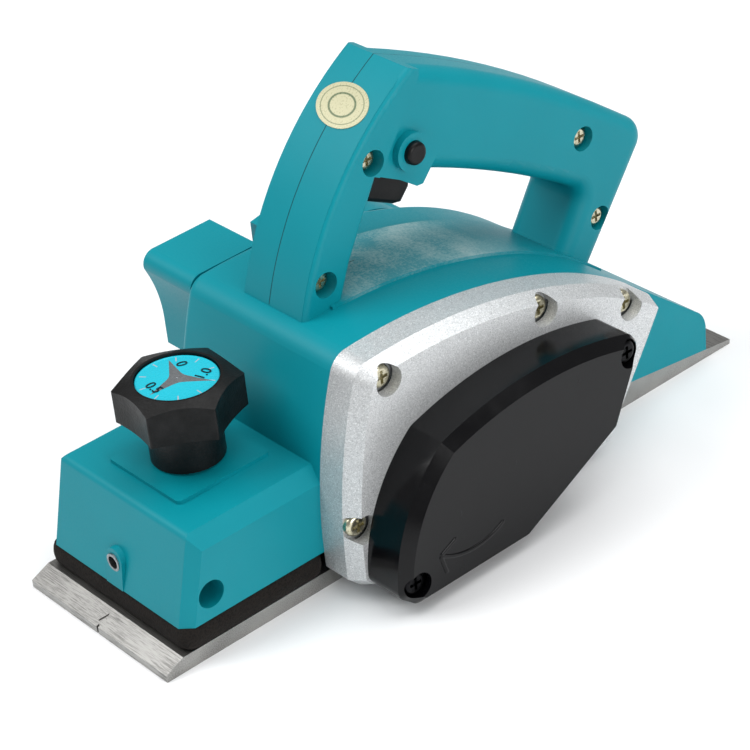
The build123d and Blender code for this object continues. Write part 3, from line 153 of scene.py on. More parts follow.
def makeMouldedAbs(name, setting, strip=None):
    material, tree, shader, place = startMaterial(name)
    waves = addNode(tree, "TexNoise", {"Scale": 1 / (setting["waveMm"] * mm), "Detail": 3.0},
                    {"Vector": place})
    base = colourSteps(tree, waves.outputs["Fac"], [(0.35, setting["colour"]), (0.75, setting["worn"])])
    mixBase = addNode(tree, "Mix",
                      {"data_type": "RGBA", 0: setting["wornShare"], 6: hexColour(setting["colour"])},
                      {7: base})
    colour = mixBase.outputs[2]
    grain = addNode(tree, "TexNoise",
                    {"Scale": 1 / (setting["grainMm"] * mm), "Detail": 2.0, "Roughness": 0.6},
                    {"Vector": place})
    rough = addNode(tree, "MapRange",
                    {1: 0.3, 2: 0.7, 3: setting["roughness"] - 0.06, 4: setting["roughness"] + 0.07},
                    {0: grain.outputs["Fac"]}).outputs[0]
    split = addNode(tree, "SeparateXYZ", links={0: place})
    if strip:
        dustSheen = stripDustSheen(tree, place, split, strip)
        # Silvery dust with painted sheen mixed into the teal over the strip
        dustSheened = addNode(tree, "Mix", {"data_type": "RGBA", 7: hexColour(strip["dustSheen"])},
                         {0: dustSheen, 6: colour})
        colour = dustSheened.outputs[2]
    # A thin parting line round the handle, where its two halves meet, darkened with painted shade of the gap
    # and sunk a little by the bump
    shifted = addNode(tree, "Math", {"operation": "SUBTRACT", 1: setting["seamMm"] * mm},
                      {0: split.outputs[0]})
    beside = addNode(tree, "Math", {"operation": "ABSOLUTE"}, {0: shifted.outputs[0]})
    thin = addNode(tree, "MapRange",
                   {1: 0.4 * setting["seamHalfMm"] * mm, 2: setting["seamHalfMm"] * mm, 3: 1.0, 4: 0.0},
                   {0: beside.outputs[0]})
    onHandle = addNode(tree, "Math", {"operation": "GREATER_THAN", 1: setting["seamFromMm"] * mm},
                       {0: split.outputs[2]})
    seam = addNode(tree, "Math", {"operation": "MULTIPLY"}, {0: thin.outputs[0], 1: onHandle.outputs[0]})
    # Painted shade along the parting line
    seamShaded = addNode(tree, "Mix", {"data_type": "RGBA", 7: hexColour(setting["seamShadeColour"])},
                     {0: seam.outputs[0], 6: colour})
    colour = seamShaded.outputs[2]
    height = addNode(tree, "Math", {"operation": "MULTIPLY_ADD", 1: setting["seamSink"]},
                     {0: seam.outputs[0], 2: grain.outputs["Fac"]})
    bump = addNode(tree, "Bump", {"Strength": 0.55, "Distance": setting["grainDepthMm"] * mm},
                   {"Height": height.outputs[0]})
    setShader(tree, shader, {"Base Color": colour, "Roughness": rough, "Normal": bump.outputs[0]},
              {"IOR": 1.53, "Specular IOR Level": 0.18})
    return material


# Die-cast alloy under silver paint: tiny bright flakes over a fine pebbled coat
silverPaint = {
    "colour": "#cdcfd0", "dark": "#a9acae", "bright": "#eceeef", "roughness": 0.42,
    "flakeMm": 0.28, "pebbleMm": 0.5, "pebbleDepthMm": 0.06,
}


def makeSilverPaint(name, setting):
    material, tree, shader, place = startMaterial(name)
    flakes = addNode(tree, "TexVoronoi", {"Scale": 1 / (setting["flakeMm"] * mm)}, {"Vector": place})
    flakeShade = addNode(tree, "SeparateColor", links={0: flakes.outputs["Color"]})
    colour = colourSteps(tree, flakeShade.outputs[0], [
        (0.0, setting["dark"]), (0.30, setting["colour"]), (0.80, setting["colour"]), (0.97, setting["bright"]),
    ])
    rough = addNode(tree, "MapRange",
                    {1: 0.0, 2: 1.0, 3: setting["roughness"] - 0.08, 4: setting["roughness"] + 0.16},
                    {0: flakeShade.outputs[1]})
    pebbles = addNode(tree, "TexNoise",
                      {"Scale": 1 / (setting["pebbleMm"] * mm), "Detail": 3.0, "Roughness": 0.65},
                      {"Vector": place})
    bump = addNode(tree, "Bump", {"Strength": 0.7, "Distance": setting["pebbleDepthMm"] * mm},
                   {"Height": pebbles.outputs["Fac"]})
    setShader(tree, shader, {"Base Color": colour, "Roughness": rough.outputs[0], "Normal": bump.outputs[0]},
              {"Metallic": 0.55})
    return material


# Polished black ABS: glossy, with faint moulding ripple and hairline scratches
polishedAbs = {
    "colour": "#070709", "scuff": "#1c1d20", "roughness": 0.17,
    "scratchMm": 9.0, "rippleMm": 14.0, "rippleDepthMm": 0.12,
    "hairMm": 0.8, "hairStretch": 0.03, "hairTurn": 37.0, "hairSink": -0.12,
}


def makePolishedAbs(name, setting):
    material, tree, shader, place = startMaterial(name)
    turn, stretch = (math.radians(setting["hairTurn"]), 0, 0), (1.0, 1.0, setting["hairStretch"])
    turned = addNode(tree, "Mapping", {"Rotation": turn, "Scale": stretch}, {"Vector": place})
    scratches = addNode(tree, "TexNoise",
                        {"Scale": 1 / (setting["hairMm"] * mm), "Detail": 2.0, "Distortion": 0.3},
                        {"Vector": turned.outputs[0]})
    lines = addNode(tree, "MapRange", {1: 0.70, 2: 0.74, 3: 0.0, 4: 1.0}, {0: scratches.outputs["Fac"]})
    patches = addNode(tree, "TexNoise", {"Scale": 1 / (setting["scratchMm"] * mm), "Detail": 2.0},
                      {"Vector": place})
    where = addNode(tree, "MapRange", {1: 0.52, 2: 0.66, 3: 0.0, 4: 1.0}, {0: patches.outputs["Fac"]})
    scratch = addNode(tree, "Math", {"operation": "MULTIPLY"}, {0: lines.outputs[0], 1: where.outputs[0]})
    colour = addNode(tree, "Mix",
                     {"data_type": "RGBA", 6: hexColour(setting["colour"]), 7: hexColour(setting["scuff"])},
                     {0: scratch.outputs[0]})
    rough = addNode(tree, "MapRange",
                    {1: 0.3, 2: 0.8, 3: setting["roughness"] - 0.03, 4: setting["roughness"] + 0.12},
                    {0: patches.outputs["Fac"]})
    ripple = addNode(tree, "TexNoise", {"Scale": 1 / (setting["rippleMm"] * mm), "Detail": 1.0},
                     {"Vector": place})
    relief = addNode(tree, "Math", {"operation": "MULTIPLY_ADD", 1: setting["hairSink"]},
                     {0: scratch.outputs[0], 2: ripple.outputs["Fac"]})
    bump = addNode(tree, "Bump", {"Strength": 0.4, "Distance": setting["rippleDepthMm"] * mm},
                   {"Height": relief.outputs[0]})
    setShader(tree, shader,
              {"Base Color": colour.outputs[2], "Roughness": rough.outputs[0], "Normal": bump.outputs[0]},
              {"IOR": 1.54, "Specular IOR Level": 0.2})
    return material


# A grained hard plastic or rubber: one colour, a pebbled skin and slight wear
def makeGrained(name, colour, worn, roughness, grainMm, depthMm, ior=1.5, wearMm=11.0):
    material, tree, shader, place = startMaterial(name)
    grain = addNode(tree, "TexVoronoi", {"Scale": 1 / (grainMm * mm), "feature": "SMOOTH_F1"},
                    {"Vector": place})
    wear = addNode(tree, "TexNoise", {"Scale": 1 / (wearMm * mm), "Detail": 5.0, "Roughness": 0.7},
                   {"Vector": place})
    tone = colourSteps(tree, wear.outputs["Fac"], [(0.42, colour), (0.78, worn)])
    rough = addNode(tree, "MapRange", {1: 0.35, 2: 0.7, 3: roughness + 0.06, 4: roughness - 0.06},
                    {0: wear.outputs["Fac"]})
    bump = addNode(tree, "Bump", {"Strength": 0.8, "Distance": depthMm * mm},
                   {"Height": grain.outputs["Distance"]})
    setShader(tree, shader, {"Base Color": tone, "Roughness": rough.outputs[0], "Normal": bump.outputs[0]},
              {"IOR": ior, "Specular IOR Level": 0.2})
    return material


# Metal with tool marks along one direction: the stretch of the noise is the lay of the marks
def makeWorkedMetal(name, colour, mark, roughness, lineMm, stretch, depthMm=0.02, patchMm=16.0):
    material, tree, shader, place = startMaterial(name)
    laid = addNode(tree, "Mapping", {"Scale": stretch}, {"Vector": place})
    lines = addNode(tree, "TexNoise", {"Scale": 1 / (lineMm * mm), "Detail": 5.0, "Roughness": 0.7},
                    {"Vector": laid.outputs[0]})
    patches = addNode(tree, "TexNoise", {"Scale": 1 / (patchMm * mm), "Detail": 3.0}, {"Vector": place})
    both = addNode(tree, "Math", {"operation": "MULTIPLY_ADD", 1: 0.35},
                   {0: patches.outputs["Fac"], 2: lines.outputs["Fac"]})
    tone = colourSteps(tree, both.outputs[0], [(0.50, mark), (0.72, colour)])
    rough = addNode(tree, "MapRange", {1: 0.3, 2: 0.7, 3: roughness + 0.1, 4: roughness - 0.06},
                    {0: lines.outputs["Fac"]})
    bump = addNode(tree, "Bump", {"Strength": 0.6, "Distance": depthMm * mm},
                   {"Height": lines.outputs["Fac"]})
    setShader(tree, shader, {"Base Color": tone, "Roughness": rough.outputs[0], "Normal": bump.outputs[0]},
              {"Metallic": 1.0})
    return material


# Open-cell foam: pits of mixed size in a dull dark skin, the pits darkened with painted shade
foamLook = {
    "colour": "#1a1613", "pitShade": "#060505", "roughness": 0.95, "cellMm": 0.8, "lumpMm": 3.0, "pitDepthMm": 0.35,
}


def makeFoam(name, setting):
    material, tree, shader, place = startMaterial(name)
    cells = addNode(tree, "TexVoronoi", {"Scale": 1 / (setting["cellMm"] * mm), "Randomness": 1.0},
                    {"Vector": place})
    lumps = addNode(tree, "TexNoise", {"Scale": 1 / (setting["lumpMm"] * mm), "Detail": 4.0},
                    {"Vector": place})
    depth = addNode(tree, "Math", {"operation": "MULTIPLY"},
                    {0: cells.outputs["Distance"], 1: lumps.outputs["Fac"]})
    # Painted shade: the deeper the pit, the darker its colour
    tone = colourSteps(tree, depth.outputs[0], [(0.05, setting["pitShade"]), (0.28, setting["colour"])])
    bump = addNode(tree, "Bump", {"Strength": 1.0, "Distance": setting["pitDepthMm"] * mm},
                   {"Height": depth.outputs[0]})
    setShader(tree, shader, {"Base Color": tone, "Normal": bump.outputs[0]},
              {"Roughness": setting["roughness"], "IOR": 1.35})
    return material


# Pale foil with two thin printed rings, centred on the label
labelLook = {
    "foil": "#b9b694", "ink": "#5f6e50", "fibreMm": 0.8,
    "centreMm": (0.0, -9.7, 157.8), "halfLengthMm": 12.6, "halfHeightMm": 8.9,
}


def makeLabelFoil(name, setting):
    material, tree, shader, place = startMaterial(name)
    foil, ink = setting["foil"], setting["ink"]
    centre = tuple(c * mm for c in setting["centreMm"])
    moved = addNode(tree, "VectorMath", {"operation": "SUBTRACT", 1: centre}, {0: place})
    across, up = 1 / (setting["halfLengthMm"] * mm), 1 / (setting["halfHeightMm"] * mm)
    sized = addNode(tree, "VectorMath", {"operation": "MULTIPLY", 1: (across, up, up)}, {0: moved.outputs[0]})
    reach = addNode(tree, "VectorMath", {"operation": "LENGTH"}, {0: sized.outputs[0]})
    rings = colourSteps(tree, reach.outputs["Value"], [
        (0.0, ink), (0.05, foil), (0.46, foil), (0.49, ink), (0.54, ink),
        (0.57, foil), (0.80, foil), (0.83, ink), (0.86, foil),
    ])
    fibre = addNode(tree, "TexNoise", {"Scale": 1 / (setting["fibreMm"] * mm), "Detail": 3.0},
                    {"Vector": place})
    rough = addNode(tree, "MapRange", {1: 0.3, 2: 0.7, 3: 0.24, 4: 0.36}, {0: fibre.outputs["Fac"]})
    setShader(tree, shader, {"Base Color": rings, "Roughness": rough.outputs[0]}, {"Metallic": 0.2})
    return material


# Printed dial foil: a bright blue-green ground, a silver three-pointed star and grey ticks near the rim.
# The star's edge lies at reach / (1 + hollow * |sin(1.5 * (angle - pointing))|), by the angle round the dial
dialLook = {
    "ground": "#14b2c6", "silver": "#b9bec2", "tick": "#a3a9b4", "sheenMm": 1.2,
    "centreMm": (0.0, -95.2, 0.0), "reachMm": 13.2, "hollow": 3.2, "pointing": -1.48,
    "ticks": 10, "tickFromMm": 11.4, "tickToMm": 14.0, "tickHalfMm": 0.25,
}


def makeDialFoil(name, setting):
    material, tree, shader, place = startMaterial(name)
    centre = tuple(c * mm for c in setting["centreMm"])
    moved = addNode(tree, "VectorMath", {"operation": "SUBTRACT", 1: centre}, {0: place})
    split = addNode(tree, "SeparateXYZ", links={0: moved.outputs[0]})
    angle = addNode(tree, "Math", {"operation": "ARCTAN2"},
                    {0: split.outputs[1], 1: split.outputs[0]}).outputs[0]
    level = addNode(tree, "VectorMath", {"operation": "MULTIPLY", 1: (1, 1, 0)}, {0: moved.outputs[0]})
    reach = addNode(tree, "VectorMath", {"operation": "LENGTH"}, {0: level.outputs[0]}).outputs["Value"]
    spun = addNode(tree, "Math", {"operation": "MULTIPLY_ADD", 1: 1.5, 2: -1.5 * setting["pointing"]},
                   {0: angle})
    wave = addNode(tree, "Math", {"operation": "SINE"}, {0: spun.outputs[0]})
    between = addNode(tree, "Math", {"operation": "ABSOLUTE"}, {0: wave.outputs[0]})
    deep = addNode(tree, "Math", {"operation": "MULTIPLY_ADD", 1: setting["hollow"], 2: 1.0},
                   {0: between.outputs[0]})
    edge = addNode(tree, "Math", {"operation": "DIVIDE", 0: setting["reachMm"] * mm}, {1: deep.outputs[0]})
    inStar = addNode(tree, "Math", {"operation": "LESS_THAN"}, {0: reach, 1: edge.outputs[0]})
    # Ticks lie where the sine of half their number times the angle is near zero, between two radii
    spread = addNode(tree, "Math", {"operation": "MULTIPLY", 1: setting["ticks"] / 2}, {0: angle})
    swing = addNode(tree, "Math", {"operation": "SINE"}, {0: spread.outputs[0]})
    away = addNode(tree, "Math", {"operation": "ABSOLUTE"}, {0: swing.outputs[0]})
    tickSize = setting["tickHalfMm"] * setting["ticks"] / 2 / setting["tickToMm"]
    onTick = addNode(tree, "Math", {"operation": "LESS_THAN", 1: tickSize}, {0: away.outputs[0]})
    beyond = addNode(tree, "Math", {"operation": "GREATER_THAN", 1: setting["tickFromMm"] * mm}, {0: reach})
    within = addNode(tree, "Math", {"operation": "LESS_THAN", 1: setting["tickToMm"] * mm}, {0: reach})
    ringPart = addNode(tree, "Math", {"operation": "MULTIPLY"}, {0: beyond.outputs[0], 1: within.outputs[0]})
    inTick = addNode(tree, "Math", {"operation": "MULTIPLY"}, {0: onTick.outputs[0], 1: ringPart.outputs[0]})
    sheen = addNode(tree, "TexNoise", {"Scale": 1 / (setting["sheenMm"] * mm), "Detail": 3.0},
                    {"Vector": place})
    rough = addNode(tree, "MapRange", {1: 0.3, 2: 0.7, 3: 0.22, 4: 0.34}, {0: sheen.outputs["Fac"]})
    starred = addNode(tree, "Mix",
                      {"data_type": "RGBA", 6: hexColour(setting["ground"]), 7: hexColour(setting["silver"])},
                      {0: inStar.outputs[0]})
    ticked = addNode(tree, "Mix", {"data_type": "RGBA", 7: hexColour(setting["tick"])},
                     {0: inTick.outputs[0], 6: starred.outputs[2]})
    setShader(tree, shader,
              {"Base Color": ticked.outputs[2], "Roughness": rough.outputs[0], "Metallic": inStar.outputs[0]})
    return material


looks = {
    "tealAbs": makeMouldedAbs("moulded ABS, teal", mouldedAbs),
    "tealAbsStrip": makeMouldedAbs("moulded ABS, teal with scuffed strip and painted sheen", mouldedAbs, scuffedSheenStrip),
    "silverCasting": makeSilverPaint("painted die casting, silver", silverPaint),
    "blackGloss": makePolishedAbs("polished ABS, black", polishedAbs),
    # Glass-filled nylon: pebbled and slightly scuffed on its ridges
    "knobNylon": makeGrained("glass-filled nylon, black", "#070707", "#1a1a1b", 0.42, 0.8, 0.10),
    # Plain moulded nylon of the trigger and button, smoother under the finger
    "blackNylon": makeGrained("moulded nylon, black", "#060607", "#101011", 0.35, 0.7, 0.03),
    "softRubber": makeGrained("moulded rubber, black", "#141413", "#232322", 0.72, 0.6, 0.05, 1.52),
    "phenolic": makeGrained("phenolic resin, brown", "#3b2114", "#4c2c1b", 0.45, 0.9, 0.02),
    "whiteNylon": makeGrained("moulded nylon, ivory", "#d8d5c8", "#e4e1d6", 0.45, 0.9, 0.02),
    "graphite": makeGrained("pressed graphite", "#2a2a2b", "#3a3a3c", 0.55, 0.5, 0.02),
    # Milled aluminium: fine lines across the shoe from the cutter's path
    "milledAlloy": makeWorkedMetal(
        "milled aluminium", "#a9a8a5", "#72716f", 0.36, 0.34, (0.05, 1.0, 1.0), 0.03),
    "turnedAlloy": makeWorkedMetal("turned aluminium", "#cfd0d1", "#a4a6a8", 0.32, 0.6, (1.0, 0.1, 0.1)),
    "groundSteel": makeWorkedMetal("ground steel", "#a9abad", "#7f8285", 0.30, 0.5, (1.0, 0.1, 0.1)),
    "bladeSteel": makeWorkedMetal("ground tool steel", "#c2c4c6", "#94979a", 0.24, 0.4, (0.1, 1.0, 1.0)),
    "springWire": makeWorkedMetal("drawn spring wire", "#8b8d90", "#66686b", 0.34, 0.6, (1.0, 1.0, 1.0)),
    # Zinc plate with a yellow pass: pale gold with cloudy patches
    "yellowZinc": makeWorkedMetal("yellow zinc plate", "#cfcab2", "#a19a7c", 0.27, 1.6, (1.0, 1.0, 1.0)),
    "blackOxide": makeWorkedMetal("black oxide steel", "#1c1c1e", "#0e0e0f", 0.38, 1.2, (1.0, 1.0, 1.0)),
    "laminations": makeWorkedMetal(
        "stacked lamination steel", "#85878a", "#4b4d50", 0.42, 0.5, (1.0, 0.05, 0.05), 0.1),
    "copperWire": makeWorkedMetal(
        "enamelled copper wire", "#b8673a", "#7a3f20", 0.34, 0.6, (1.0, 0.2, 0.2), 0.12),
    "turnedBrass": makeWorkedMetal("turned brass", "#cda85a", "#9a7a3a", 0.28, 0.6, (0.2, 1.0, 0.2)),
    "foam": makeFoam("open-cell foam", foamLook),
    "labelFoil": makeLabelFoil("printed foil", labelLook),
    "dialFoil": makeDialFoil("printed dial foil", dialLook),
    # Raised print of the dial's numbers
    "dialInk": makeGrained("screen-printed ink, dark", "#0b2328", "#12323a", 0.4, 0.5, 0.01),
}
print("materials made:", len(looks))

finishes = {
    "tealAbsStrip": ["main_housing"],
    "tealAbs": ["handle_cover", "chip_chute", "motor_end_cap"],
    "silverCasting": ["side_bracket"],
    "blackGloss": ["belt_cover"],
    "knobNylon": ["depth_knob"],
    "blackNylon": ["trigger", "lock_button", "switch_plunger", "switch_body", "brush_caps"],
    "softRubber": ["cord_inlet_bush", "drive_belt"],
    "phenolic": ["suppressor_capacitor"],
    "whiteNylon": ["cooling_fan", "fan_baffle"],
    "graphite": ["carbon_brushes"],
    "milledAlloy": ["front_shoe", "rear_shoe"],
    "turnedAlloy": ["drum_pulley", "motor_pulley"],
    "groundSteel": [
        "cutter_drum", "blade_clamps", "blade_bolts", "drum_pulley_nut", "armature_shaft", "knob_stem",
        "near_drum_bearing", "far_drum_bearing", "motor_bearing", "tail_bearing", "sole_screws", "fence_insert",
    ],
    "bladeSteel": ["drum_blades"],
    "springWire": ["shoe_spring", "brush_springs", "stem_clip"],
    "yellowZinc": ["handle_screws", "bracket_screws", "end_cap_screws"],
    "blackOxide": ["belt_cover_screws"],
    "laminations": ["armature_core", "stator_core"],
    "copperWire": ["armature_windings", "commutator", "stator_coils"],
    "turnedBrass": ["shoe_nut", "stem_bush", "brush_holders"],
    "foam": ["foam_seal"],
    "labelFoil": ["oval_label"],
    "dialFoil": ["knob_dial"],
}
for look, names in finishes.items():
    for name in names:
        nodes[name].data.materials.clear()
        nodes[name].data.materials.append(looks[look])
print("finishes set on", sum(len(names) for names in finishes.values()), "nodes")


def makeMesh(name, points, faces, look, caps=()):
    mesh = bpy.data.meshes.new(name)
    mesh.from_pydata(np.asarray(points).reshape(-1, 3).tolist(), [], np.asarray(faces).tolist() + list(caps))
    mesh.validate()
    mesh.materials.append(looks[look])
    mesh.shade_smooth()
    piece = bpy.data.objects.new(name, mesh)
    bpy.context.scene.collection.objects.link(piece)
    return piece


# Faces of a grid of rows and columns; the columns may close on themselves
def gridFaces(rows, columns, closedRows=False, closedColumns=False):
    r = np.arange(rows if closedRows else rows - 1)
    c = np.arange(columns if closedColumns else columns - 1)
    R, C = np.meshgrid(r, c, indexing="ij")
    nextR, nextC = (R + 1) % rows, (C + 1) % columns
    corners = [R * columns + C, R * columns + nextC, nextR * columns + nextC, nextR * columns + C]
    return np.stack(corners, -1).reshape(-1, 4)


foamSeal = {
    "frontMm": -134.5, "rearMm": -72.0, "halfWidthMm": 41.0, "cornerMm": 4.6, "wallMm": 4.2,
    "bottomMm": 6.5, "topMm": 15.5, "bulgeMm": 1.3, "bulgePower": 0.7, "insetMm": 0.3,
    "waveMm": 0.3, "waves": ((9.0, 0.0, 0.6), (3.7, 1.0, 0.4)), "edgeMm": 0.35, "edgeShare": 0.08,
}


# A closed ring: the path is a rounded rectangle, and the profile is a flat-sided band whose outer face bulges.
# Point = path point + outward normal times (bulge * sin of the height angle + waves along the path).
# Each wave has its reach along the path, its start and its share of the height
def makeFoamSeal(setting):
    hw, corner = setting["halfWidthMm"], setting["cornerMm"]
    front, rear = setting["frontMm"], setting["rearMm"]
    sides = 360
    t = np.linspace(0, 1, sides, endpoint=False)
    midY, halfY = (front + rear) / 2, (rear - front) / 2
    # rounded rectangle sampled by its own arc length
    quarter = math.pi / 2 * corner
    lengths = np.array([2 * (hw - corner), quarter, 2 * (halfY - corner), quarter] * 2)
    marks = np.concatenate([[0], np.cumsum(lengths)])
    s = t * marks[-1]
    piecesOf = np.searchsorted(marks, s, side="right") - 1
    along = s - marks[piecesOf]
    turns = np.array([0, 0, 1, 1, 2, 2, 3, 3])[piecesOf] * math.pi / 2
    onArc = piecesOf % 2 == 1
    halfA = np.where((piecesOf // 2) % 2 == 0, hw, halfY) - corner
    halfB = np.where((piecesOf // 2) % 2 == 0, halfY, hw) - corner
    arcTurn = np.where(onArc, along / corner, 0.0)
    localU = np.where(onArc, halfA + corner * np.sin(arcTurn), -halfA + along)
    localV = np.where(onArc, -halfB - corner * np.cos(arcTurn), -halfB - corner)
    x = localU * np.cos(turns) - localV * np.sin(turns)
    y = localU * np.sin(turns) + localV * np.cos(turns) + midY
    outU, outV = np.where(onArc, np.sin(arcTurn), 0.0), np.where(onArc, -np.cos(arcTurn), -1.0)
    nx = outU * np.cos(turns) - outV * np.sin(turns)
    ny = outU * np.sin(turns) + outV * np.cos(turns)
    # profile round the band: outer face from bottom to top, then the inner face back down
    levels = 11
    h = np.linspace(0, 1, levels)
    edge = setting["edgeMm"] * (1 - np.clip(np.minimum(h, 1 - h) / setting["edgeShare"], 0, 1)) ** 2
    outer = setting["bulgeMm"] * np.sin(math.pi * h) ** setting["bulgePower"] - edge - setting["insetMm"]
    inner = np.full(levels, -setting["wallMm"])
    offsets = np.concatenate([outer, inner[::-1]])
    heights = setting["bottomMm"] + (setting["topMm"] - setting["bottomMm"]) * np.concatenate([h, h[::-1]])
    waves = setting["waveMm"] * sum(np.sin(s / reach + start) * part for reach, start, part in setting["waves"])
    swell = np.concatenate([np.sin(math.pi * h), np.zeros(levels)])
    off = offsets[None, :] + waves[:, None] * swell[None, :]
    points = np.stack([x[:, None] + nx[:, None] * off, y[:, None] + ny[:, None] * off,
                       np.broadcast_to(heights, off.shape)], -1) * mm
    return makeMesh("foamSealPiece", points, gridFaces(sides, 2 * levels, True, True), "foam")


foamPiece = makeFoamSeal(foamSeal)
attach(foamPiece, "frame")
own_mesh(foamPiece)
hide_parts("foam_seal")
print("foam seal made")

# Shoe spring: its lower end sits on the shoe and its upper end under the nose's roof; the whole spring is fixed
# to the frame
shoeSpring = {
    "centreMm": (0.0, -95.2), "bottomMm": 33.0, "topMm": 46.5,
    "coilMm": 10.0, "wireMm": 1.6, "turns": 4, "shyMm": 0.03,
}


# A wire along a helix that lies flat for its first and last half turn. The height of the wire's middle is
# bottom + rise * flat(s), with flat(s) clipped to 0 and 1 at the ends, and its section is a circle
def makeSpring(setting):
    steps, sides = 480, 14
    share = np.linspace(0, 1, steps)
    turning = 2 * math.pi * setting["turns"] * share
    flat = np.clip((share * setting["turns"] - 0.5) / (setting["turns"] - 1), 0, 1)
    half = setting["wireMm"] / 2
    low = setting["bottomMm"] + half + setting["shyMm"]
    high = setting["topMm"] - half - setting["shyMm"]
    middle = low + (high - low) * flat
    sectionTurns = np.linspace(0, 2 * math.pi, sides, endpoint=False)
    reach = setting["coilMm"] + half * np.cos(sectionTurns)[None, :]
    x = setting["centreMm"][0] + np.cos(turning)[:, None] * reach
    y = setting["centreMm"][1] + np.sin(turning)[:, None] * reach
    z = middle[:, None] + half * np.sin(sectionTurns)[None, :]
    wire = np.stack([x, y, z], -1)
    caps = [list(range(sides))[::-1], list(range((steps - 1) * sides, steps * sides))]
    return makeMesh("shoeSpringPiece", wire * mm, gridFaces(steps, sides, False, True), "springWire", caps)


springPiece = makeSpring(shoeSpring)
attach(springPiece, "frame")
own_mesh(springPiece)
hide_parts("shoe_spring")
print("shoe spring made")

dial = {
    "centreMm": (0.0, -95.2), "topMm": 84.6, "thicknessMm": 1.2, "radiusMm": 15.2,
    "beadMm": 0.35, "beadInMm": 0.5, "beadHalfMm": 0.28, "crownMm": 0.25, "sinkMm": 0.3,
}


# The dial is a closed disc that goes down at its rim and back below:
# height = top - sink + crown * (1 - (r / R) ** 2) + a small bead near the rim
def makeDial(setting):
    rings, sides = 40, 160
    share = np.linspace(0.004, 1, rings)
    radius = setting["radiusMm"]
    fromBead = (1 - share) * radius - setting["beadInMm"]
    bead = setting["beadMm"] * np.exp(-(fromBead / setting["beadHalfMm"]) ** 2)
    top = setting["topMm"] - setting["sinkMm"] + setting["crownMm"] * (1 - share ** 2) + bead
    r = np.concatenate([share, [1.0], share[::-1]]) * radius
    middle, under = (setting["topMm"] - part * setting["thicknessMm"] for part in (0.5, 1.0))
    z = np.concatenate([top, [middle], np.full(rings, under)])
    t = np.linspace(0, 2 * math.pi, sides, endpoint=False)
    centreX, centreY = setting["centreMm"]
    x, y = centreX + np.outer(np.cos(t), r), centreY + np.outer(np.sin(t), r)
    points = np.stack([x, y, np.broadcast_to(z, (sides, len(z)))], -1) * mm
    return makeMesh("dialPiece", points, gridFaces(sides, len(z), True, True), "dialFoil")


dialPiece = makeDial(dial)
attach(dialPiece, "depth_knob")
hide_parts("knob_dial")

# Numbers of the depth scale, set out round the dial
scale = {
    "sizeMm": 5.8, "radiusMm": 9.4, "raiseMm": 0.1,
    # each number, its place round the dial and its own turn, in degrees
    "numbers": (("0", 130.0, 160.0), ("0.5", -98.0, -2.0), ("1.0", 58.0, 108.0)),
}


def makeNumber(name, words, placeDegrees, turnDegrees, setting):
    curve = bpy.data.curves.new(name, "FONT")
    curve.body = words
    curve.size = setting["sizeMm"] * mm
    curve.extrude = setting["raiseMm"] * mm
    curve.align_x, curve.align_y = "CENTER", "CENTER"
    words3d = bpy.data.objects.new(name + "Outline", curve)
    bpy.context.scene.collection.objects.link(words3d)
    bpy.context.view_layer.update()
    mesh = bpy.data.meshes.new_from_object(words3d.evaluated_get(bpy.context.evaluated_depsgraph_get()))
    bpy.data.objects.remove(words3d)
    turn, placed = math.radians(turnDegrees), math.radians(placeDegrees)
    place = Vector((dial["centreMm"][0], dial["centreMm"][1], dial["topMm"])) * mm
    outward = Vector((math.cos(placed), math.sin(placed), 0)) * setting["radiusMm"] * mm
    mesh.transform(Matrix.Translation(place + outward) @ Matrix.Rotation(turn, 4, "Z"))
    mesh.materials.clear()
    mesh.materials.append(looks["dialInk"])
    piece = bpy.data.objects.new(name, mesh)
    bpy.context.scene.collection.objects.link(piece)
    return piece


for number, (words, placeDegrees, turnDegrees) in enumerate(scale["numbers"]):
    piece = makeNumber("dialNumber%d" % number, words, placeDegrees, turnDegrees, scale)
    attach(piece, "depth_knob")
print("dial made")

# Raised arrow on the belt cover that shows which way the drum turns
arrow = {
    "faceMm": 80.0, "halfWidthMm": 0.9, "heightMm": 0.5, "endShare": 0.35, "sunkTurn": 0.35,
    "shaftMm": ((-49.3, 20.9), (-30.8, 15.8), (-18.5, 19.7)), "barbsMm": ((-47.0, 12.1), (-41.4, 24.6)),
}


# A rib with a half-round section along a path in the plane of the cover:
# point = path + side * halfWidth * cos a, and x = face + height * sin a
def makeRib(name, path, setting):
    path = np.asarray(path, float)
    along = np.gradient(path, axis=0)
    along /= np.linalg.norm(along, axis=1)[:, None]
    side = np.stack([-along[:, 1], along[:, 0]], 1)
    a = np.linspace(-setting["sunkTurn"], math.pi + setting["sunkTurn"], 15)
    taper = np.ones(len(path))
    taper[[0, -1]] = setting["endShare"]
    offset = setting["halfWidthMm"] * np.outer(taper, np.cos(a))
    yz = path[:, None, :] + side[:, None, :] * offset[:, :, None]
    x = setting["faceMm"] + setting["heightMm"] * np.outer(taper, np.sin(a))
    points = np.stack([x, yz[:, :, 0], yz[:, :, 1]], -1) * mm
    piece = makeMesh(name, points, gridFaces(len(path), len(a), False, True), "blackGloss")
    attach(piece, "frame")
    return piece


arrowCentre, arrowRadius = circleThrough(*arrow["shaftMm"])
ends = arrow["shaftMm"][0], arrow["shaftMm"][2]
firstTurn, lastTurn = (math.atan2(p[1] - arrowCentre[1], p[0] - arrowCentre[0]) for p in ends)
turns = np.linspace(firstTurn, lastTurn, 60)
shaftPath = np.array(arrowCentre) + arrowRadius * np.stack([np.cos(turns), np.sin(turns)], 1)
makeRib("arrowShaft", shaftPath, arrow)
for number, end in enumerate(arrow["barbsMm"]):
    share = np.linspace(0, 1, 20)[:, None]
    barbPath = np.array(arrow["shaftMm"][0]) * (1 - share) + np.array(end) * share
    makeRib("arrowBarb%d" % number, barbPath, arrow)
print("arrow made")

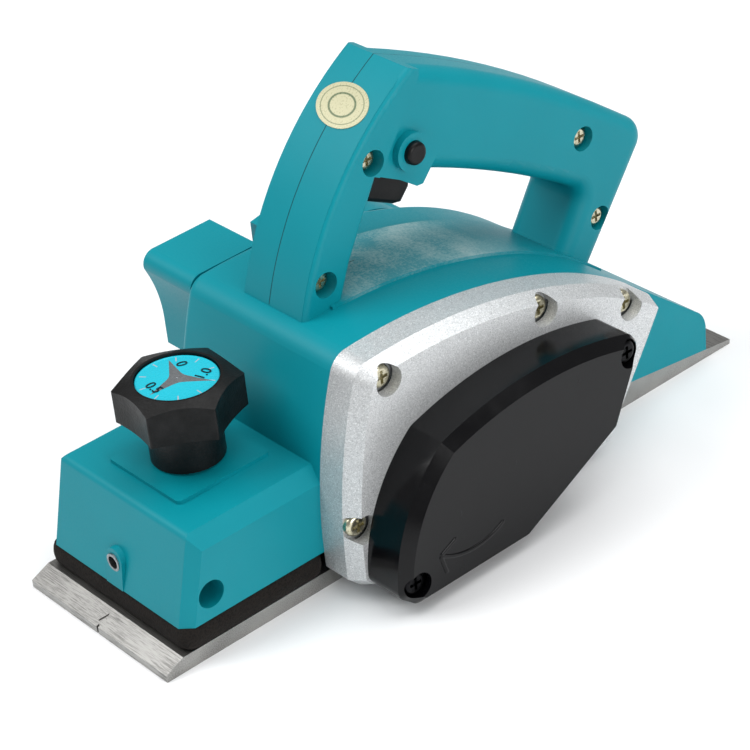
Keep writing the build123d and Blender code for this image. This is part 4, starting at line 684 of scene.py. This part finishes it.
# The camera stands where its place, turn and lens say
cameraView = {
    "azimuth": 51.769, "elevation": 32.539, "roll": 6.057, "lensMm": 122.269,
    "placeMm": (636.84, -508.85, 559.62),
}
a, e, roll = (math.radians(cameraView[k]) for k in ("azimuth", "elevation", "roll"))
right = Vector((math.cos(a), math.sin(a), 0))
upward = Vector((-math.sin(a) * math.sin(e), math.cos(a) * math.sin(e), math.cos(e)))
back = Vector((math.sin(a) * math.cos(e), -math.cos(a) * math.cos(e), math.sin(e)))
cameraX = right * math.cos(roll) - upward * math.sin(roll)
cameraY = right * math.sin(roll) + upward * math.cos(roll)
camera = bpy.data.objects.new("camera", bpy.data.cameras.new("camera"))
camera.data.sensor_width = 36.0
camera.data.lens = cameraView["lensMm"]
camera.data.clip_start, camera.data.clip_end = 0.05, 20.0
turn = Matrix((cameraX, cameraY, back)).transposed().to_4x4()
camera.matrix_world = Matrix.Translation(Vector(cameraView["placeMm"]) * mm) @ turn
bpy.context.scene.collection.objects.link(camera)
bpy.context.scene.camera = camera

floorMaterial, _, floorShader, _ = startMaterial("matt paper sweep")
floorShader.inputs["Base Color"].default_value = hexColour("#f4f5f6")
floorShader.inputs["Roughness"].default_value = 0.75
floorMesh = bpy.data.meshes.new("floor")
floorMesh.from_pydata([(-6, -6, 0), (6, -6, 0), (6, 6, 0), (-6, 6, 0)], [], [(0, 1, 2, 3)])
floorMesh.materials.append(floorMaterial)
floor = bpy.data.objects.new("floor", floorMesh)
bpy.context.scene.collection.objects.link(floor)

lamps = [
    # name, place, target, size, watts, colour
    ("keyPanel", (-0.55, -0.75, 1.15), (0.0, 0.0, 0.05), (0.9, 0.9), 12.5, "#ffffff"),
    ("topPanel", (0.15, 0.35, 1.35), (0.0, 0.0, 0.05), (1.3, 1.3), 14.5, "#ffffff"),
    ("sidePanel", (1.25, -0.1, 0.5), (0.0, 0.0, 0.06), (0.8, 0.6), 8.0, "#ffffff"),
]
for name, place, target, size, watts, colour in lamps:
    light = bpy.data.lights.new(name, "AREA")
    light.shape = "RECTANGLE"
    light.size, light.size_y = size
    light.energy = watts
    light.color = hexColour(colour)[:3]
    lamp = bpy.data.objects.new(name, light)
    aim = (Vector(target) - Vector(place)).to_track_quat("-Z", "Y").to_matrix().to_4x4()
    lamp.matrix_world = Matrix.Translation(place) @ aim
    bpy.context.scene.collection.objects.link(lamp)
world = bpy.data.worlds.new("studio")
bpy.context.scene.world = world
world.use_nodes = True
world.node_tree.nodes["Background"].inputs[0].default_value = hexColour("#ffffff")
world.node_tree.nodes["Background"].inputs[1].default_value = 0.32
bpy.context.scene.view_settings.view_transform = "Standard"
print("stage set")
